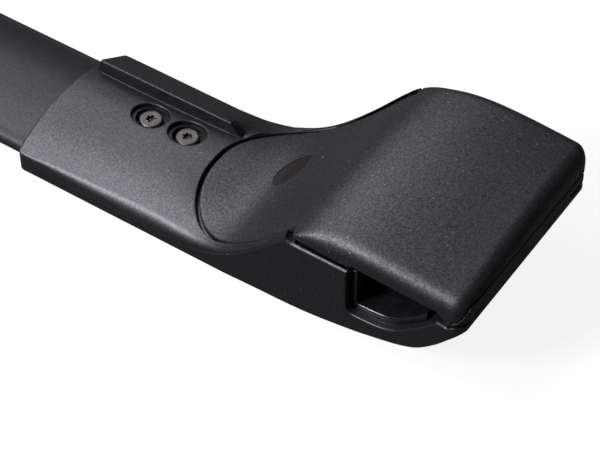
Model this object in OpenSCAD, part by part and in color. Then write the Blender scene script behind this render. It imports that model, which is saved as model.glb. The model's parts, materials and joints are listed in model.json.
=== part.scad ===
// Pair of roof cross bars for a car with raised side rails.
// Each bar is a hollow oval extrusion with a cast foot at either end. A foot grips the rail
// between a rubber lined channel and a jaw that a bolt pulls down under a hinged cover.
// X runs along the bars, +Y to the side that carries the fences, Z up from the ground.
// Every foot is drawn once, in its own frame: x outboard from the inner end of the sleeve,
// y across from the straight side face, z up from the flat underside.

/* [Layout] */
// Distance between the middles of the two rail channels of one bar
rail_spread = 1000; // [800:10:1200]
// Distance between the two bars
bar_spacing = 600; // [300:10:900]

/* [Bar] */
// Width of the bar
bar_w = 64; // [61:0.5:65]
// Thickness of the bar at its middle
bar_t = 16.4; // [15:0.1:17]
// Radius of the bar's two edges
bar_edge_r = 4.2; // [3.4:0.1:4.6]
// Wall of the bar
bar_wall = 2; // [1.6:0.1:2.6]
// Width of the inner chamber that takes the spigot
chamber_w = 14; // [12:0.5:16]
// Depth of the solid rib over the chamber, from the crown down
rib_depth = 6; // [5:0.1:6.6]
// Play between the bar and what it slides over or into
bar_play = 0.3; // [0.2:0.05:0.4]

/* [Foot] */
// Height of the bar's underside above the ground
bar_lift = 2.2; // [1.8:0.1:2.6]
// How far the bar reaches into the foot
bar_reach = 72; // [68:0.5:76]
// Radius of the corners of the head, seen from above
corner_r = 7; // [5:0.5:9]
// Radius over the outer end of the head
end_r = 6; // [4:0.5:7]
// Height of the lip of the side walls under the cover
lip_z = 40.3; // [39:0.1:41]
// Width of the groove round the tongue of the cover
groove_w = 1.6; // [1.2:0.1:2.2]

/* [Fence] */
// Height of the fence's crest above the ground
fence_z = 25; // [22:0.5:27]
// Distance of the fence from the straight side
fence_y = 55; // [53:0.5:57]
// Length of the fence along its crest
fence_l = 70.5; // [60:0.5:74]

/* [Screws] */
// Distance of the outer fixing screw from the bar's end
screw_in = 11.2; // [10.6:0.1:13]
// Distance between the two fixing screws
screw_pitch = 19.8; // [19:0.2:22]
// Distance of the fixing screws from the straight side
screw_y = 44; // [43:0.5:45]
// Diameter of the fixing screws' shanks
screw_d = 6; // [5:0.5:6]
// Diameter of the fixing screws' heads
screw_head_d = 11; // [10:0.5:12]
// Height of the fixing screws' heads
screw_head_h = 2.8; // [2.4:0.1:3.2]
// Width of the slotted counterbores
recess_w = 15.4; // [14.6:0.1:16.5]
// Diameter of the spot faces in the bar
spot_d = 14; // [13:0.5:15]

/* [Rail channel] */
// Length of the block between the ramp and the channel, which holds the clamp
block_l = 22.7; // [22:0.1:25]
// Width of the channel
channel_w = 44.9; // [42:0.1:48]
// Thickness of the hook that closes the channel, with the cover's end over it
hook_t = 10.4; // [10:0.1:12]
// Height of the channel's floor
channel_z = 15.7; // [15:0.1:17]
// Thickness of the rubber pads
pad_t = 3; // [2:0.1:3.5]
// Set back of the rubber liner from the side faces
pad_inset = 4; // [3:0.5:6]

/* [Cover] */
// Wall of the cover
cover_t = 2.4; // [2:0.1:2.8]
// Distance of the hinge pin from the outer end
hinge_in = 3; // [3:0.1:3.4]
// Height of the hinge pin
hinge_z = 41.6; // [41:0.1:42]
// Diameter of the hinge pin
pin_d = 3; // [2.5:0.1:3.2]
// Radius of the hinge knuckles
knuckle_r = 2.9; // [2.6:0.1:2.9]
// Length of each of the two lugs that hold the pin
lug_l = 7; // [6:0.5:9]
// Running clearance of the pin in the cover, on the radius
pin_play = 0.05; // [0.03:0.01:0.08]
// Length of the finger notch
notch_l = 28; // [20:1:30]
// Width of the finger notch
notch_w = 7.6; // [5:0.1:8.5]
// Depth of the finger notch
notch_depth = 1.1; // [0.6:0.1:1.3]

/* [Clamp] */
// Width of the jaw
jaw_w = 60; // [52:1:64]
// Thickness of the jaw
jaw_t = 3; // [2.6:0.1:3.4]
// Height of the jaw's underside
jaw_z = 43.6; // [43:0.1:44.2]
// Depth of the leg that guides the jaw
leg_depth = 17; // [12:0.5:20]
// Distance of the clamp bolt from the channel's wall
bolt_in = 12.7; // [12:0.1:13]
// Diameter of the clamp bolt
bolt_d = 6; // [5:0.5:6]
// Diameter of the clamp bolt's head
bolt_head_d = 12; // [11:0.5:13]
// Height of the clamp bolt's head
bolt_head_h = 3.4; // [3:0.1:3.8]
// Play of the sliding leg in its pocket
slide_play = 0.3; // [0.2:0.05:0.4]

/* [Hidden] */
$fn = 48;
FEET = [1, 2, 3, 4];
FOOT_PIECES = [
    "end_support", "cover", "rail_pad", "clamp_jaw", "jaw_pad", "clamp_bolt", "clamp_washer",
    "retaining_ring"
];

// Places along the foot: where the bar ends, where the ramp has reached the head, the
// channel's wall, the outer end and the sleeve's inner end
bar_end_x = 72;
head_x = 149;
channel_x = head_x + block_l;
foot_l = channel_x + channel_w + hook_t;
sleeve_x0 = bar_end_x - bar_reach;

// Middle of the rail channel, which sets where each foot stands
channel_mid = channel_x + 22;
foot_x0 = rail_spread / 2 - channel_mid;
bolt_x = channel_x - bolt_in;
screw_x = bar_end_x - screw_in - screw_pitch;
bar_mid_y = 36.1;
far_edge_y = 100.8;
mid_y = far_edge_y / 2;
hinge_x = foot_l - hinge_in;
hinge_gap = 0.4;

// Heights of the top surface along the straight side and along the far side, its bulge
// between them, the far side's plan and the underside, each as [distance, size]
near_top = [[0, 10.8], [24, 10], [48, 9.6], [72, 9.4], [88, 9.4], [98, 10.6], [110, 14.8], [126, 26.5],
    [134, 35], [141, 42.8], [149, 49], [157, 52], [166, 53.6], [178, 54], [195, 53.2], [212, 52], [230, 51]];
far_top = [[0, 10.6], [48, 10.2], [72, 11], [88, 12.6], [98, 14], [110, 18], [126, 30], [134, 38],
    [141, 45.6], [149, 53.4], [157, 57.6], [166, 59.8], [178, 61.8], [195, 61.9], [212, 60.8], [230, 59.4]];
top_bulge = [[0, 9.8], [48, 10.4], [72, 10.6], [88, 9.4], [98, 7.8], [110, 5.2], [126, 3.4], [141, 3],
    [230, 3]];
far_plan = [[0, 73.2], [60, 73.6], [78, 75], [88, 77.4], [96, 80], [105, 83.2], [113, 86.3], [121, 89.5],
    [130, 92.6], [141, 95.8], [150, 98.2], [160, 100], [172, 100.8], [230, 100.8]];
edge_round = [[0, 0.8], [24, 2.4], [48, 3.6], [72, 4.4], [98, 3.6], [126, 2], [141, 2.4], [149, 4.6],
    [160, 6], [230, 6]];
underside = [[0, 0], [104, 0], [110, 0], [124, 0.6], [150, 1.7], [174, 5.2], [188, 8.4],
    [foot_l - 28.5, 11.4], [foot_l - 20.5, 15.4], [foot_l - 12.4, 23.2], [foot_l - 6, 31.8],
    [foot_l - 0.5, 38.9], [foot_l + 3, 43]];

// Places along the foot at which its skin is worked out
sleeve_stations = [sleeve_x0, sleeve_x0 + 0.6, 24, 48, bar_end_x];
ramp_stations = [82, 92, 101, 109, 116, 122, 128, 133, 138, 142.2];
head_stations = concat([147, 152, 158, 165, 176, 192], [for (d = [20, 11, 6, 3]) foot_l - d]);
end_stations = [foot_l - 1, foot_l];
body_stations = concat(sleeve_stations, ramp_stations, head_stations, end_stations);
lid_stations = concat([bar_end_x], ramp_stations, head_stations, end_stations);
seat_stations = [bar_end_x, 90, 103, 113, 121, 129, 136, 143, 150];
inner_stations = concat(seat_stations, [156, 165, 190, foot_l - 15, foot_l - 7, foot_l - cover_t]);

// Facets over each rounded edge and over the crown, outside and inside
OUTER = [3, 6];
INNER = [2, 4];

// Outline of the tongue: where the nose starts, where its sides run straight, and its set back
nose_x = 81.5;
tongue_in = 4.4;
tongue_end_x = 144.6;
ear_x = 142.2;

// Value of a track at a place, on a smooth curve through its stations
function slope_at(p, i) =
    i == 0 ? 0
    : i == len(p) - 1 ? (p[i][1] - p[i - 1][1]) / (p[i][0] - p[i - 1][0])
    : (p[i + 1][1] - p[i - 1][1]) / (p[i + 1][0] - p[i - 1][0]);
function seg_of(p, x, i = 0) = (i >= len(p) - 2 || x < p[i + 1][0]) ? i : seg_of(p, x, i + 1);
function along(p, x) =
    let (i = seg_of(p, x), l = p[i + 1][0] - p[i][0], t = max((x - p[i][0]) / l, 0))
    (2 * t ^ 3 - 3 * t ^ 2 + 1) * p[i][1] + (t ^ 3 - 2 * t ^ 2 + t) * l * slope_at(p, i)
    + (3 * t ^ 2 - 2 * t ^ 3) * p[i + 1][1] + (t ^ 3 - t ^ 2) * l * slope_at(p, i + 1);

// Drop of a quarter round of radius r at a distance d inside its edge
function round_drop(r, d) = d >= r ? 0 : r - sqrt(r ^ 2 - (r - max(d, 0)) ^ 2);

// The skin: its two sides in plan, its top and one cross section set in by d
function corner_in(x) = round_drop(corner_r, foot_l - x);
function inner_end_in(x) = x < sleeve_x0 + 0.5 ? 0.4 : 0;
function near_y(x) = corner_in(x) + inner_end_in(x);
function far_y(x) = along(far_plan, x) - corner_in(x) - inner_end_in(x);
function top_z(x, y) =
    let (w = along(far_plan, x), t = y / w)
    along(near_top, x) * (1 - t) + along(far_top, x) * t + along(top_bulge, x) * 4 * t * (1 - t)
    - round_drop(end_r, foot_l - x) - inner_end_in(x);

function skin_section(x, d, steps) =
    let (
        fillet = steps[0], crown = steps[1],
        yn = near_y(x) + d, yf = far_y(x) - d, b = 1.2,
        zb = along(underside, x) + d + inner_end_in(x),
        side = top_z(x, yn) - d - zb - b - 0.3,
        r = max(min(along(edge_round, x) - d, side), 0.6)
    )
    [for (p = concat(
        [[yn + b, zb], [yn, zb + b]],
        [for (k = [0 : fillet]) let (a = 90 * k / fillet, y = yn + r * (1 - cos(a)))
            [y, top_z(x, y) - d - r * (1 - sin(a))]],
        [for (k = [1 : crown - 1]) let (y = yn + r + (yf - yn - 2 * r) * k / crown)
            [y, top_z(x, y) - d]],
        [for (k = [fillet : -1 : 0]) let (a = 90 * k / fillet, y = yf - r * (1 - cos(a)))
            [y, top_z(x, y) - d - r * (1 - sin(a))]],
        [[yf, zb + b], [yf - b, zb]])
    ) [x, p[0], p[1]]];

// A closed solid through a list of cross sections with as many points each
module loft(sections) {
    n = len(sections[0]);
    m = len(sections);
    polyhedron(
        points = [for (s = sections) for (p = s) p],
        faces = concat(
            [[for (j = [n - 1 : -1 : 0]) j]],
            [for (i = [0 : m - 2]) for (j = [0 : n - 1]) [i * n + j, i * n + (j + 1) % n, (i + 1) * n + j]],
            [for (i = [0 : m - 2]) for (j = [0 : n - 1])
                [i * n + (j + 1) % n, (i + 1) * n + (j + 1) % n, (i + 1) * n + j]],
            [[for (j = [0 : n - 1]) (m - 1) * n + j]]
        )
    );
}

// The foot's outer form between two stations, set in by d all round
module skin(stations, d, steps) {
    loft([for (x = stations) skin_section(x, d, steps)]);
}

// Plan of the cover, grown by g: a tongue with a round nose, and the lid at full width
function nose_near(x) = tongue_in + 31 * (1 - sqrt(1 - (1 - min((x - nose_x) / 30, 1)) ^ 2.4));
function nose_far(x) = along(far_plan, x) - tongue_in
    - 30 * (1 - sqrt(1 - (1 - min((x - nose_x) / 36, 1)) ^ 2.2));
nose_places = [0, 0.5, 2, 4.5, 8.5, 14, 21, 30, 42, 54, 66];

module tongue_plan(g) {
    offset(delta = g)
        polygon(concat(
            [for (d = nose_places) [nose_x + d, nose_near(nose_x + d)]],
            [for (k = [len(nose_places) - 1 : -1 : 0])
                [nose_x + nose_places[k], nose_far(nose_x + nose_places[k])]]
        ));
}

// Plan of the groove: wide round the nose, a hairline along the sides
module groove_plan() {
    tongue_plan(0.6);
    intersection() {
        tongue_plan(groove_w);
        square([nose_x + 22, 110]);
    }
}

// Plan of the whole cover: the tongue and the lid at the foot's full width
module cover_plan() {
    tongue_plan(0);
    translate([tongue_end_x, -1]) square([foot_l + 1 - tongue_end_x, 110]);
}

// Profiles across the foot, drawn in x and z and run along y
module across(y0, y1) {
    translate([0, y1, 0])
        rotate([90, 0, 0])
            linear_extrude(height = y1 - y0)
                children();
}

// What stands above the casting in the head: all that belongs to the cover and the clamp
module above_casting() {
    polygon([
        [ear_x, 90], [ear_x, lip_z + 3], [ear_x + 1.4, lip_z],
        [hinge_x - 9, lip_z], [hinge_x - 6, lip_z - 1], [hinge_x - 2, lip_z - 2.4], [hinge_x, lip_z - 2.7],
        [foot_l + 3, lip_z - 2.7], [foot_l + 3, 90]
    ]);
}

// The cover's side view: skirt along the lip, arch over the channel, round the hinge
module cover_side() {
    polygon([
        [70, 90], [70, 3], [115, 12], [tongue_end_x, 34], [tongue_end_x, lip_z + 1.5],
        [channel_x + 0.8, lip_z + 1.3], [channel_x + 2.4, lip_z + 4], [channel_x + channel_w * 0.45, lip_z + 3],
        [hinge_x - 21, lip_z + 2.5], [hinge_x - 13, lip_z + 2.2], [hinge_x - 7.5, lip_z + 0.3],
        [hinge_x - 3, lip_z - 1.2], [hinge_x - 1.4, lip_z - 1.4], [hinge_x, lip_z - 0.5], [hinge_x, hinge_z],
        [foot_l + 3, hinge_z], [foot_l + 3, 90]
    ]);
}

// The rail channel, set in by d
module channel_shape(d) {
    end = channel_x + channel_w;
    offset(r = -d)
        polygon([
            [channel_x, 70], [channel_x, channel_z + 4], [channel_x + 1.2, channel_z + 1.2],
            [channel_x + 4, channel_z], [end - 30.6, channel_z + 0.5], [end - 24.6, channel_z + 2],
            [end - 19.6, channel_z + 4.6], [end - 9.6, channel_z + 13.3], [end - 1.6, channel_z + 22],
            [end, channel_z + 25.6], [end, 70]
        ]);
}

// The bar's outline in y and z about its own middle: two flat arcs and two round edges
module bar_shape(grow) {
    half = bar_w / 2 - bar_edge_r;
    crown = bar_t * 0.72;
    belly = bar_t - crown;
    r = bar_edge_r + grow;
    steps = 12;
    top = [for (k = [1 : steps - 1]) let (u = 2 * k / steps - 1)
        [half * u, (crown + grow - r) * (1 - u ^ 2) + r]];
    bottom = [for (k = [steps - 1 : -1 : 1]) let (u = 2 * k / steps - 1)
        [half * u, -(belly + grow - r) * (1 - u ^ 2) - r]];
    right = [for (k = [0 : 8]) let (a = 90 - 22.5 * k) [half + r * cos(a), r * sin(a)]];
    left = [for (k = [0 : 8]) let (a = -90 - 22.5 * k) [-half + r * cos(a), r * sin(a)]];
    polygon(concat(top, right, bottom, left));
}
bar_mid_z = bar_lift + bar_t * 0.28;
bar_top_z = bar_lift + bar_t;
rib_z = bar_top_z - rib_depth;
chamber_floor_z = bar_lift + bar_wall;

// A shape in y and z, run along x from x0 to x1
module lengthwise(x0, x1) {
    translate([x0, 0, 0])
        rotate([90, 0, 90])
            linear_extrude(height = x1 - x0)
                children();
}

module bar_section() {
    web = bar_wall;
    place = [bar_mid_y, bar_mid_z];
    difference() {
        translate(place) bar_shape(0);
        difference() {
            translate(place) bar_shape(-bar_wall);
            for (s = [-1, 1])
                translate([screw_y + s * (chamber_w + web) / 2 - web / 2, 0])
                    square([web, 30]);
            translate([screw_y - chamber_w / 2, rib_z])
                square([chamber_w, 30]);
        }
    }
}

// The bar, drawn from end to end, with spot faces and screw holes at both ends
module bar() {
    half = foot_x0 + bar_end_x;
    difference() {
        lengthwise(-half, half) bar_section();
        for (s = [-1, 1], k = [0, 1])
            translate([s * (foot_x0 + screw_x + k * screw_pitch), screw_y, 0]) {
                translate([0, 0, screw_seat_z]) cylinder(d = spot_d, h = 20);
                translate([0, 0, rib_z - 2]) cylinder(d = screw_d + 0.6, h = 20);
            }
    }
}
screw_seat_z = rib_z + 2.4;

// What the bar takes up in the foot, with its play
module bar_tunnel() {
    lengthwise(sleeve_x0 - 1, bar_end_x + 0.4)
        translate([bar_mid_y, bar_mid_z])
            bar_shape(bar_play);
}

// The sleeve's raised fence, with a raked inner end and a ramp at the outer end
module fence() {
    x0 = sleeve_x0 + 5.4;
    x1 = x0 + fence_l;
    root_z = 9;
    far = 73;
    far_z = 14.4;
    // Place, share of the crest's height, and how far the far edge lies inboard of the crest
    ends = [[x0 - 1.4, 0.3, 0], [x0, 1, 1], [x1, 1, 0], [x1 + 9, 0, 0]];
    loft([for (s = ends) let (
        x = s[0],
        near = top_z(x, fence_y) - 0.2,
        crest = near + (fence_z - near) * s[1],
        edge = s[1] > 0 ? far_z : top_z(x, far) - 0.3
    ) [[x, fence_y, root_z], [x, fence_y, crest - 0.4], [x, fence_y + 0.4, crest],
       [x, fence_y + 1.2, crest], [x - s[2], far, edge], [x - s[2], far, root_z]]]);
}

// Slotted recess for one fixing screw
module screw_recess() {
    slide = 2.4;
    for (s = [-1, 1])
        translate([s * slide / 2, 0, 0]) cylinder(d = recess_w, h = 20);
    translate([-slide / 2, -recess_w / 2, 0]) cube([slide, recess_w, 20]);
}

// The spigot that fills the bar's chamber under the rib
spigot_floor_z = chamber_floor_z + 3.4;
module spigot() {
    w = chamber_w - 2 * bar_play;
    translate([sleeve_x0 + 10, screw_y - w / 2, spigot_floor_z])
        cube([bar_reach, w, rib_z - bar_play - spigot_floor_z]);
}

// Cores that the mould leaves in the underside of the foot: rows under the ramp, each as
// high as the skin over its corners allows, and two deep ones beside the clamp
module under_cores() {
    roof = cover_t + 4;
    rim = 8;
    pitch = 14;
    l = 11.5;
    // Start and width of the three cores of a row; the far one is left out at the narrow end
    rows = [[rim, 24], [36, 26], [66, 13]];
    for (i = [0 : 3], row = rows)
        if (i > 1 || row[0] < mid_y) {
            x = bar_end_x + pitch * (i + 1);
            h = min([for (dx = [0, l], dy = [0, row[1]]) top_z(x + dx, row[0] + dy)]) - roof;
            translate([x, row[0], -1]) cube([l, row[1], h + 1]);
        }
    deep_l = 17;
    deep_w = 19;
    for (y = [rim, far_edge_y - rim - deep_w])
        translate([channel_x - 5 - deep_l, y, -1]) cube([deep_l, deep_w, lip_z - 1.4]);
}

// Pocket for the jaw's leg, with the bolt hole and the slot for the square nut under it
leg_x0 = bolt_x - 9;
leg_l = 18;
leg_w = 28;
bolt_y = mid_y;
leg_y0 = bolt_y - leg_w / 2;
pocket_z = jaw_z - leg_depth - 4.6;
nut_z = 9;
nut_w = 10;
nut_h = 5;
module clamp_pocket() {
    translate([leg_x0 - slide_play, leg_y0 - slide_play, pocket_z])
        cube([leg_l + 2 * slide_play, leg_w + 2 * slide_play, 60]);
    translate([bolt_x, bolt_y, nut_z]) cylinder(d = bolt_d + 0.8, h = 40);
    translate([bolt_x - nut_w / 2 - 0.1, bolt_y - nut_w / 2 - 0.1, -2])
        cube([nut_w + 0.2, nut_w + 0.2, nut_z + nut_h + 0.1 + 2]);
}

// The two lugs that carry the hinge pin
lug_near_y = 8.4;
lug_far_y = far_edge_y - lug_near_y - lug_l;
module hinge_rod(r, y0, y1) {
    translate([hinge_x, y1, hinge_z])
        rotate([90, 0, 0])
            cylinder(r = r, h = y1 - y0);
}

module end_support() {
    color([0.09, 0.09, 0.095])
    difference() {
        union() {
            difference() {
                skin(body_stations, 0, OUTER);
                across(-10, 120) above_casting();
                // Groove and seat of the tongue
                difference() {
                    translate([0, 0, 5]) linear_extrude(height = 80) groove_plan();
                    skin(seat_stations, cover_t + 0.5, INNER);
                }
                bar_tunnel();
                under_cores();
                hinge_rod(knuckle_r + hinge_gap, -5, 110);
            }
            difference() {
                fence();
                bar_tunnel();
            }
            spigot();
            for (y = [lug_near_y, lug_far_y]) {
                hinge_rod(knuckle_r, y, y + lug_l);
                translate([hinge_x - 2.6, y, hinge_z - 4.8]) cube([3.2, lug_l, 4]);
            }
        }
        for (k = [0, 1])
            translate([screw_x + k * screw_pitch, screw_y, 0]) {
                translate([0, 0, bar_top_z - 2]) screw_recess();
                translate([0, 0, spigot_floor_z - 1]) cylinder(d = screw_d + 0.6, h = 10);
            }
        across(-10, 120) channel_shape(0);
        clamp_pocket();
        hinge_rod(pin_d / 2 + 0.01, lug_near_y + 1.4, lug_far_y + lug_l - 1.4);
    }
}

// The cover: lid and tongue in one shell, with the rolled edge that turns on the pin
module cover() {
    color([0.07, 0.07, 0.075])
    difference() {
        union() {
            difference() {
                intersection() {
                    skin(lid_stations, 0, OUTER);
                    across(-10, 120) cover_side();
                    linear_extrude(height = 90) cover_plan();
                }
                skin(inner_stations, cover_t, INNER);
            }
            rolled_edge();
        }
        // Room for the lugs
        for (y = [lug_near_y, lug_far_y]) {
            hinge_rod(knuckle_r + hinge_gap, y - hinge_gap, y + lug_l + hinge_gap);
            translate([hinge_x - 8, y - hinge_gap, hinge_z - 8])
                cube([14, lug_l + 2 * hinge_gap, 8 + knuckle_r + hinge_gap - 0.6]);
        }
        hinge_rod(pin_d / 2 + pin_play, lug_near_y, lug_far_y + lug_l);
        finger_notch();
    }
}

// The rolled edge of the cover, tapered inside the corners of the head
module rolled_edge() {
    taper_l = 4.4;
    end_r = 1.4;
    y0 = corner_r + 0.7;
    y1 = far_edge_y - y0;
    hinge_rod(knuckle_r, y0, y1);
    for (end = [[y0, 90], [y1, -90]])
        translate([hinge_x, end[0], hinge_z])
            rotate([end[1], 0, 0])
                cylinder(r1 = knuckle_r, r2 = end_r, h = taper_l);
}

// Lens shaped notch in the valley of the tongue
notch_mid = [113, 49];
module finger_notch() {
    r = ((notch_l / 2) ^ 2 + (notch_w / 2) ^ 2) / notch_w;
    difference() {
        translate([notch_mid[0], notch_mid[1], 14])
            rotate(-5)
                intersection() {
                    translate([r - notch_w / 2, 0, 0]) cylinder(r = r, h = 30);
                    translate([notch_w / 2 - r, 0, 0]) cylinder(r = r, h = 30);
                }
        skin([101, 109, 116, 122], notch_depth, OUTER);
    }
}

module cover_hinge_pin() {
    color([0.55, 0.55, 0.56])
        hinge_rod(pin_d / 2, lug_near_y + 1.5, lug_far_y + lug_l - 1.5);
}

module rail_pad() {
    color([0.03, 0.03, 0.03])
        across(pad_inset, far_edge_y - pad_inset)
            intersection() {
                difference() {
                    channel_shape(0.02);
                    channel_shape(pad_t);
                }
                translate([channel_x - 5, 0]) square([channel_w - 3.9, lip_z - 2]);
            }
}

module clamp_jaw() {
    color([0.35, 0.35, 0.36])
    difference() {
        union() {
            // Plate with a rounded toe over the rail
            translate([0, bolt_y - jaw_w / 2, 0])
                across(0, jaw_w)
                    polygon([[leg_x0, jaw_z], [leg_x0, jaw_z + jaw_t], [toe_x - 6.6, jaw_z + jaw_t],
                        [toe_x - 1.6, jaw_z + jaw_t - 1.4], [toe_x, jaw_z + jaw_t - 3], [toe_x, jaw_z - 2.4],
                        [toe_x - 3, jaw_z - 2.4], [toe_x - 3, jaw_z]]);
            // Leg
            translate([leg_x0, leg_y0, jaw_z - leg_depth]) cube([leg_l, leg_w, leg_depth + 1]);
            // Two ribs along the plate
            for (y = [bolt_y - 22, bolt_y + 19])
                translate([leg_x0 + 4, y, jaw_z + jaw_t - 1]) cube([toe_x - leg_x0 - 16.6, 3, 2.4]);
        }
        translate([bolt_x, bolt_y, 0]) cylinder(d = bolt_d + 0.8, h = 90);
        translate([bolt_x, bolt_y, bolt_seat_z]) cylinder(d = bolt_head_d + 1.6, h = 20);
        // Hollow for the retaining ring
        translate([bolt_x, bolt_y, jaw_z - leg_depth - 1]) cylinder(d = ring_d + 1, h = ring_up + 1);
    }
}
toe_x = channel_x + channel_w - 4;
washer_h = 1;
bolt_seat_z = jaw_z + jaw_t - 2.4;
ring_d = 10;
ring_h = 0.8;
ring_up = 2.2;

module jaw_pad() {
    color([0.03, 0.03, 0.03])
        translate([channel_x + 4.6, bolt_y - jaw_w / 2 + 1, jaw_z - pad_t])
            cube([toe_x - 3.2 - channel_x - 4.6, jaw_w - 2, pad_t]);
}

module clamp_bolt() {
    head_z = bolt_seat_z + washer_h;
    color([0.5, 0.5, 0.52])
    difference() {
        union() {
            translate([bolt_x, bolt_y, nut_z - 4]) cylinder(d = bolt_d, h = head_z - nut_z + 5);
            translate([bolt_x, bolt_y, head_z])
                rotate_extrude()
                    polygon([[0, 0], [bolt_head_d / 2, 0], [bolt_head_d / 2, 1], [bolt_head_d / 2 - 1.6, 2.6],
                        [bolt_head_d / 2 - 3, bolt_head_h], [0, bolt_head_h]]);
        }
        translate([bolt_x, bolt_y, head_z + 1]) cylinder(d = 5.2, h = 10, $fn = 6);
        // Groove for the retaining ring
        translate([bolt_x, bolt_y, ring_z]) ring_shape(bolt_d / 2 - 0.5, bolt_d, ring_h + 0.04);
    }
}
ring_z = jaw_z - leg_depth + ring_up - ring_h - 0.1;

module ring_shape(inner, outer, h) {
    rotate_extrude()
        translate([inner, 0]) square([outer - inner, h]);
}

module clamp_washer() {
    color([0.5, 0.5, 0.52])
        translate([bolt_x, bolt_y, bolt_seat_z])
            ring_shape(bolt_d / 2 + 0.2, bolt_head_d / 2 + 0.4, washer_h);
}

module retaining_ring() {
    color([0.3, 0.3, 0.32])
        translate([bolt_x, bolt_y, ring_z + 0.02])
            ring_shape(bolt_d / 2 - 0.48, ring_d / 2, ring_h);
}

module clamp_nut() {
    color([0.5, 0.5, 0.52])
    difference() {
        translate([bolt_x - nut_w / 2, bolt_y - nut_w / 2, nut_z]) cube([nut_w, nut_w, nut_h]);
        translate([bolt_x, bolt_y, 0]) cylinder(d = bolt_d + 0.1, h = 60);
    }
}

module nut_plate() {
    color([0.5, 0.5, 0.52])
    difference() {
        translate([screw_x - 9, screw_y - chamber_w / 2 + 0.8, spigot_floor_z - 3])
            cube([screw_pitch + 18, chamber_w - 1.6, 3]);
        for (k = [0, 1])
            translate([screw_x + k * screw_pitch, screw_y, 0]) cylinder(d = screw_d + 0.04, h = 40);
    }
}

// Round headed screws with a six lobed socket
module fixing_screws() {
    color([0.32, 0.32, 0.33])
        for (k = [0, 1])
            translate([screw_x + k * screw_pitch, screw_y, screw_seat_z])
                difference() {
                    union() {
                        rotate_extrude()
                            polygon([[0, 0], [screw_head_d / 2, 0], [screw_head_d / 2, screw_head_h - 1],
                                [screw_head_d / 2 - 0.5, screw_head_h - 0.35], [screw_head_d / 2 - 1.2, screw_head_h],
                                [0, screw_head_h]]);
                        translate([0, 0, spigot_floor_z - 3 - screw_seat_z])
                            cylinder(d = screw_d, h = screw_seat_z - spigot_floor_z + 4);
                    }
                    translate([0, 0, screw_head_h - 1.8]) lobed_socket(4.6);
                }
}

module lobed_socket(d) {
    cylinder(d = d * 0.76, h = 5);
    for (a = [0 : 60 : 300])
        rotate(a) translate([d * 0.36, 0, 0]) cylinder(d = d * 0.26, h = 5, $fn = 16);
}

// Where the four feet and the two bars stand
function bar_y0(k) = (k <= 2 ? -bar_spacing / 2 : bar_spacing / 2) - mid_y;
module foot_at(k) {
    translate([0, bar_y0(k), 0])
        mirror([k % 2 == 0 ? 1 : 0, 0, 0])
            translate([foot_x0, 0, 0])
                children();
}

color([0.08, 0.08, 0.085]) translate([0, bar_y0(1), 0]) bar();  // front_bar
color([0.08, 0.08, 0.085]) translate([0, bar_y0(3), 0]) bar();  // rear_bar
for (k = FEET) {
    foot_at(k) end_support();
    foot_at(k) cover();
    foot_at(k) cover_hinge_pin();  // cover_hinge_pins
    foot_at(k) rail_pad();
    foot_at(k) clamp_jaw();
    foot_at(k) jaw_pad();
    foot_at(k) clamp_bolt();
    foot_at(k) clamp_washer();
    foot_at(k) retaining_ring();
    foot_at(k) clamp_nut();  // clamp_nuts
    foot_at(k) nut_plate();  // nut_plates
    foot_at(k) fixing_screws();
}
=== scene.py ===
"""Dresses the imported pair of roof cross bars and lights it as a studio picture.

A bar has a cast foot at either end. Each foot is worked out once, in millimetres and in its own
frame: x outboard from the inner end of the sleeve, y across from the straight side face, z up
from the flat underside. It is then placed four times, in metres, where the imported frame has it.
"""

import json
import logging
import math
from dataclasses import dataclass, field
from enum import Enum
from typing import Callable, Sequence

import bmesh
import bpy
import numpy as np
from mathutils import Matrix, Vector

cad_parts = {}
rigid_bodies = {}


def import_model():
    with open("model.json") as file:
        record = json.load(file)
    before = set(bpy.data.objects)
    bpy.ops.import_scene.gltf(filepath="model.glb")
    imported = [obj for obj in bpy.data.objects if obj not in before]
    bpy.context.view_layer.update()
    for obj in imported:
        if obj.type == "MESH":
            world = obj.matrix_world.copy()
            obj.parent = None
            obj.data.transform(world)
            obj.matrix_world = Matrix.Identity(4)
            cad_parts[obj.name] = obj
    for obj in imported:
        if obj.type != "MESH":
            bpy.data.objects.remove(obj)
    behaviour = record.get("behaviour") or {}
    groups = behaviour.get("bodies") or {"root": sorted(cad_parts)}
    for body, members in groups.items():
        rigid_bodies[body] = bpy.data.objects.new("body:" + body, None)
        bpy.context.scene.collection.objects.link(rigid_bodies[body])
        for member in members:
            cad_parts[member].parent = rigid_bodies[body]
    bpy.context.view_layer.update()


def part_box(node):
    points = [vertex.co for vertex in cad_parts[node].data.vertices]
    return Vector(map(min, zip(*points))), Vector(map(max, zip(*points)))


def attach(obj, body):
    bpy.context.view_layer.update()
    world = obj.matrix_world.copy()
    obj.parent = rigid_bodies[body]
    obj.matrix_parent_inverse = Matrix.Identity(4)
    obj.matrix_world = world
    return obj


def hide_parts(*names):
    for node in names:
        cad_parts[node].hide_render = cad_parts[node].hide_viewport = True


LOG = logging.getLogger("cross_bars")
MM = 0.001
FEET = (1, 2, 3, 4)
SMOOTH_ANGLE = math.radians(32)
SKY = 90.0


# Shader graphs


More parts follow.
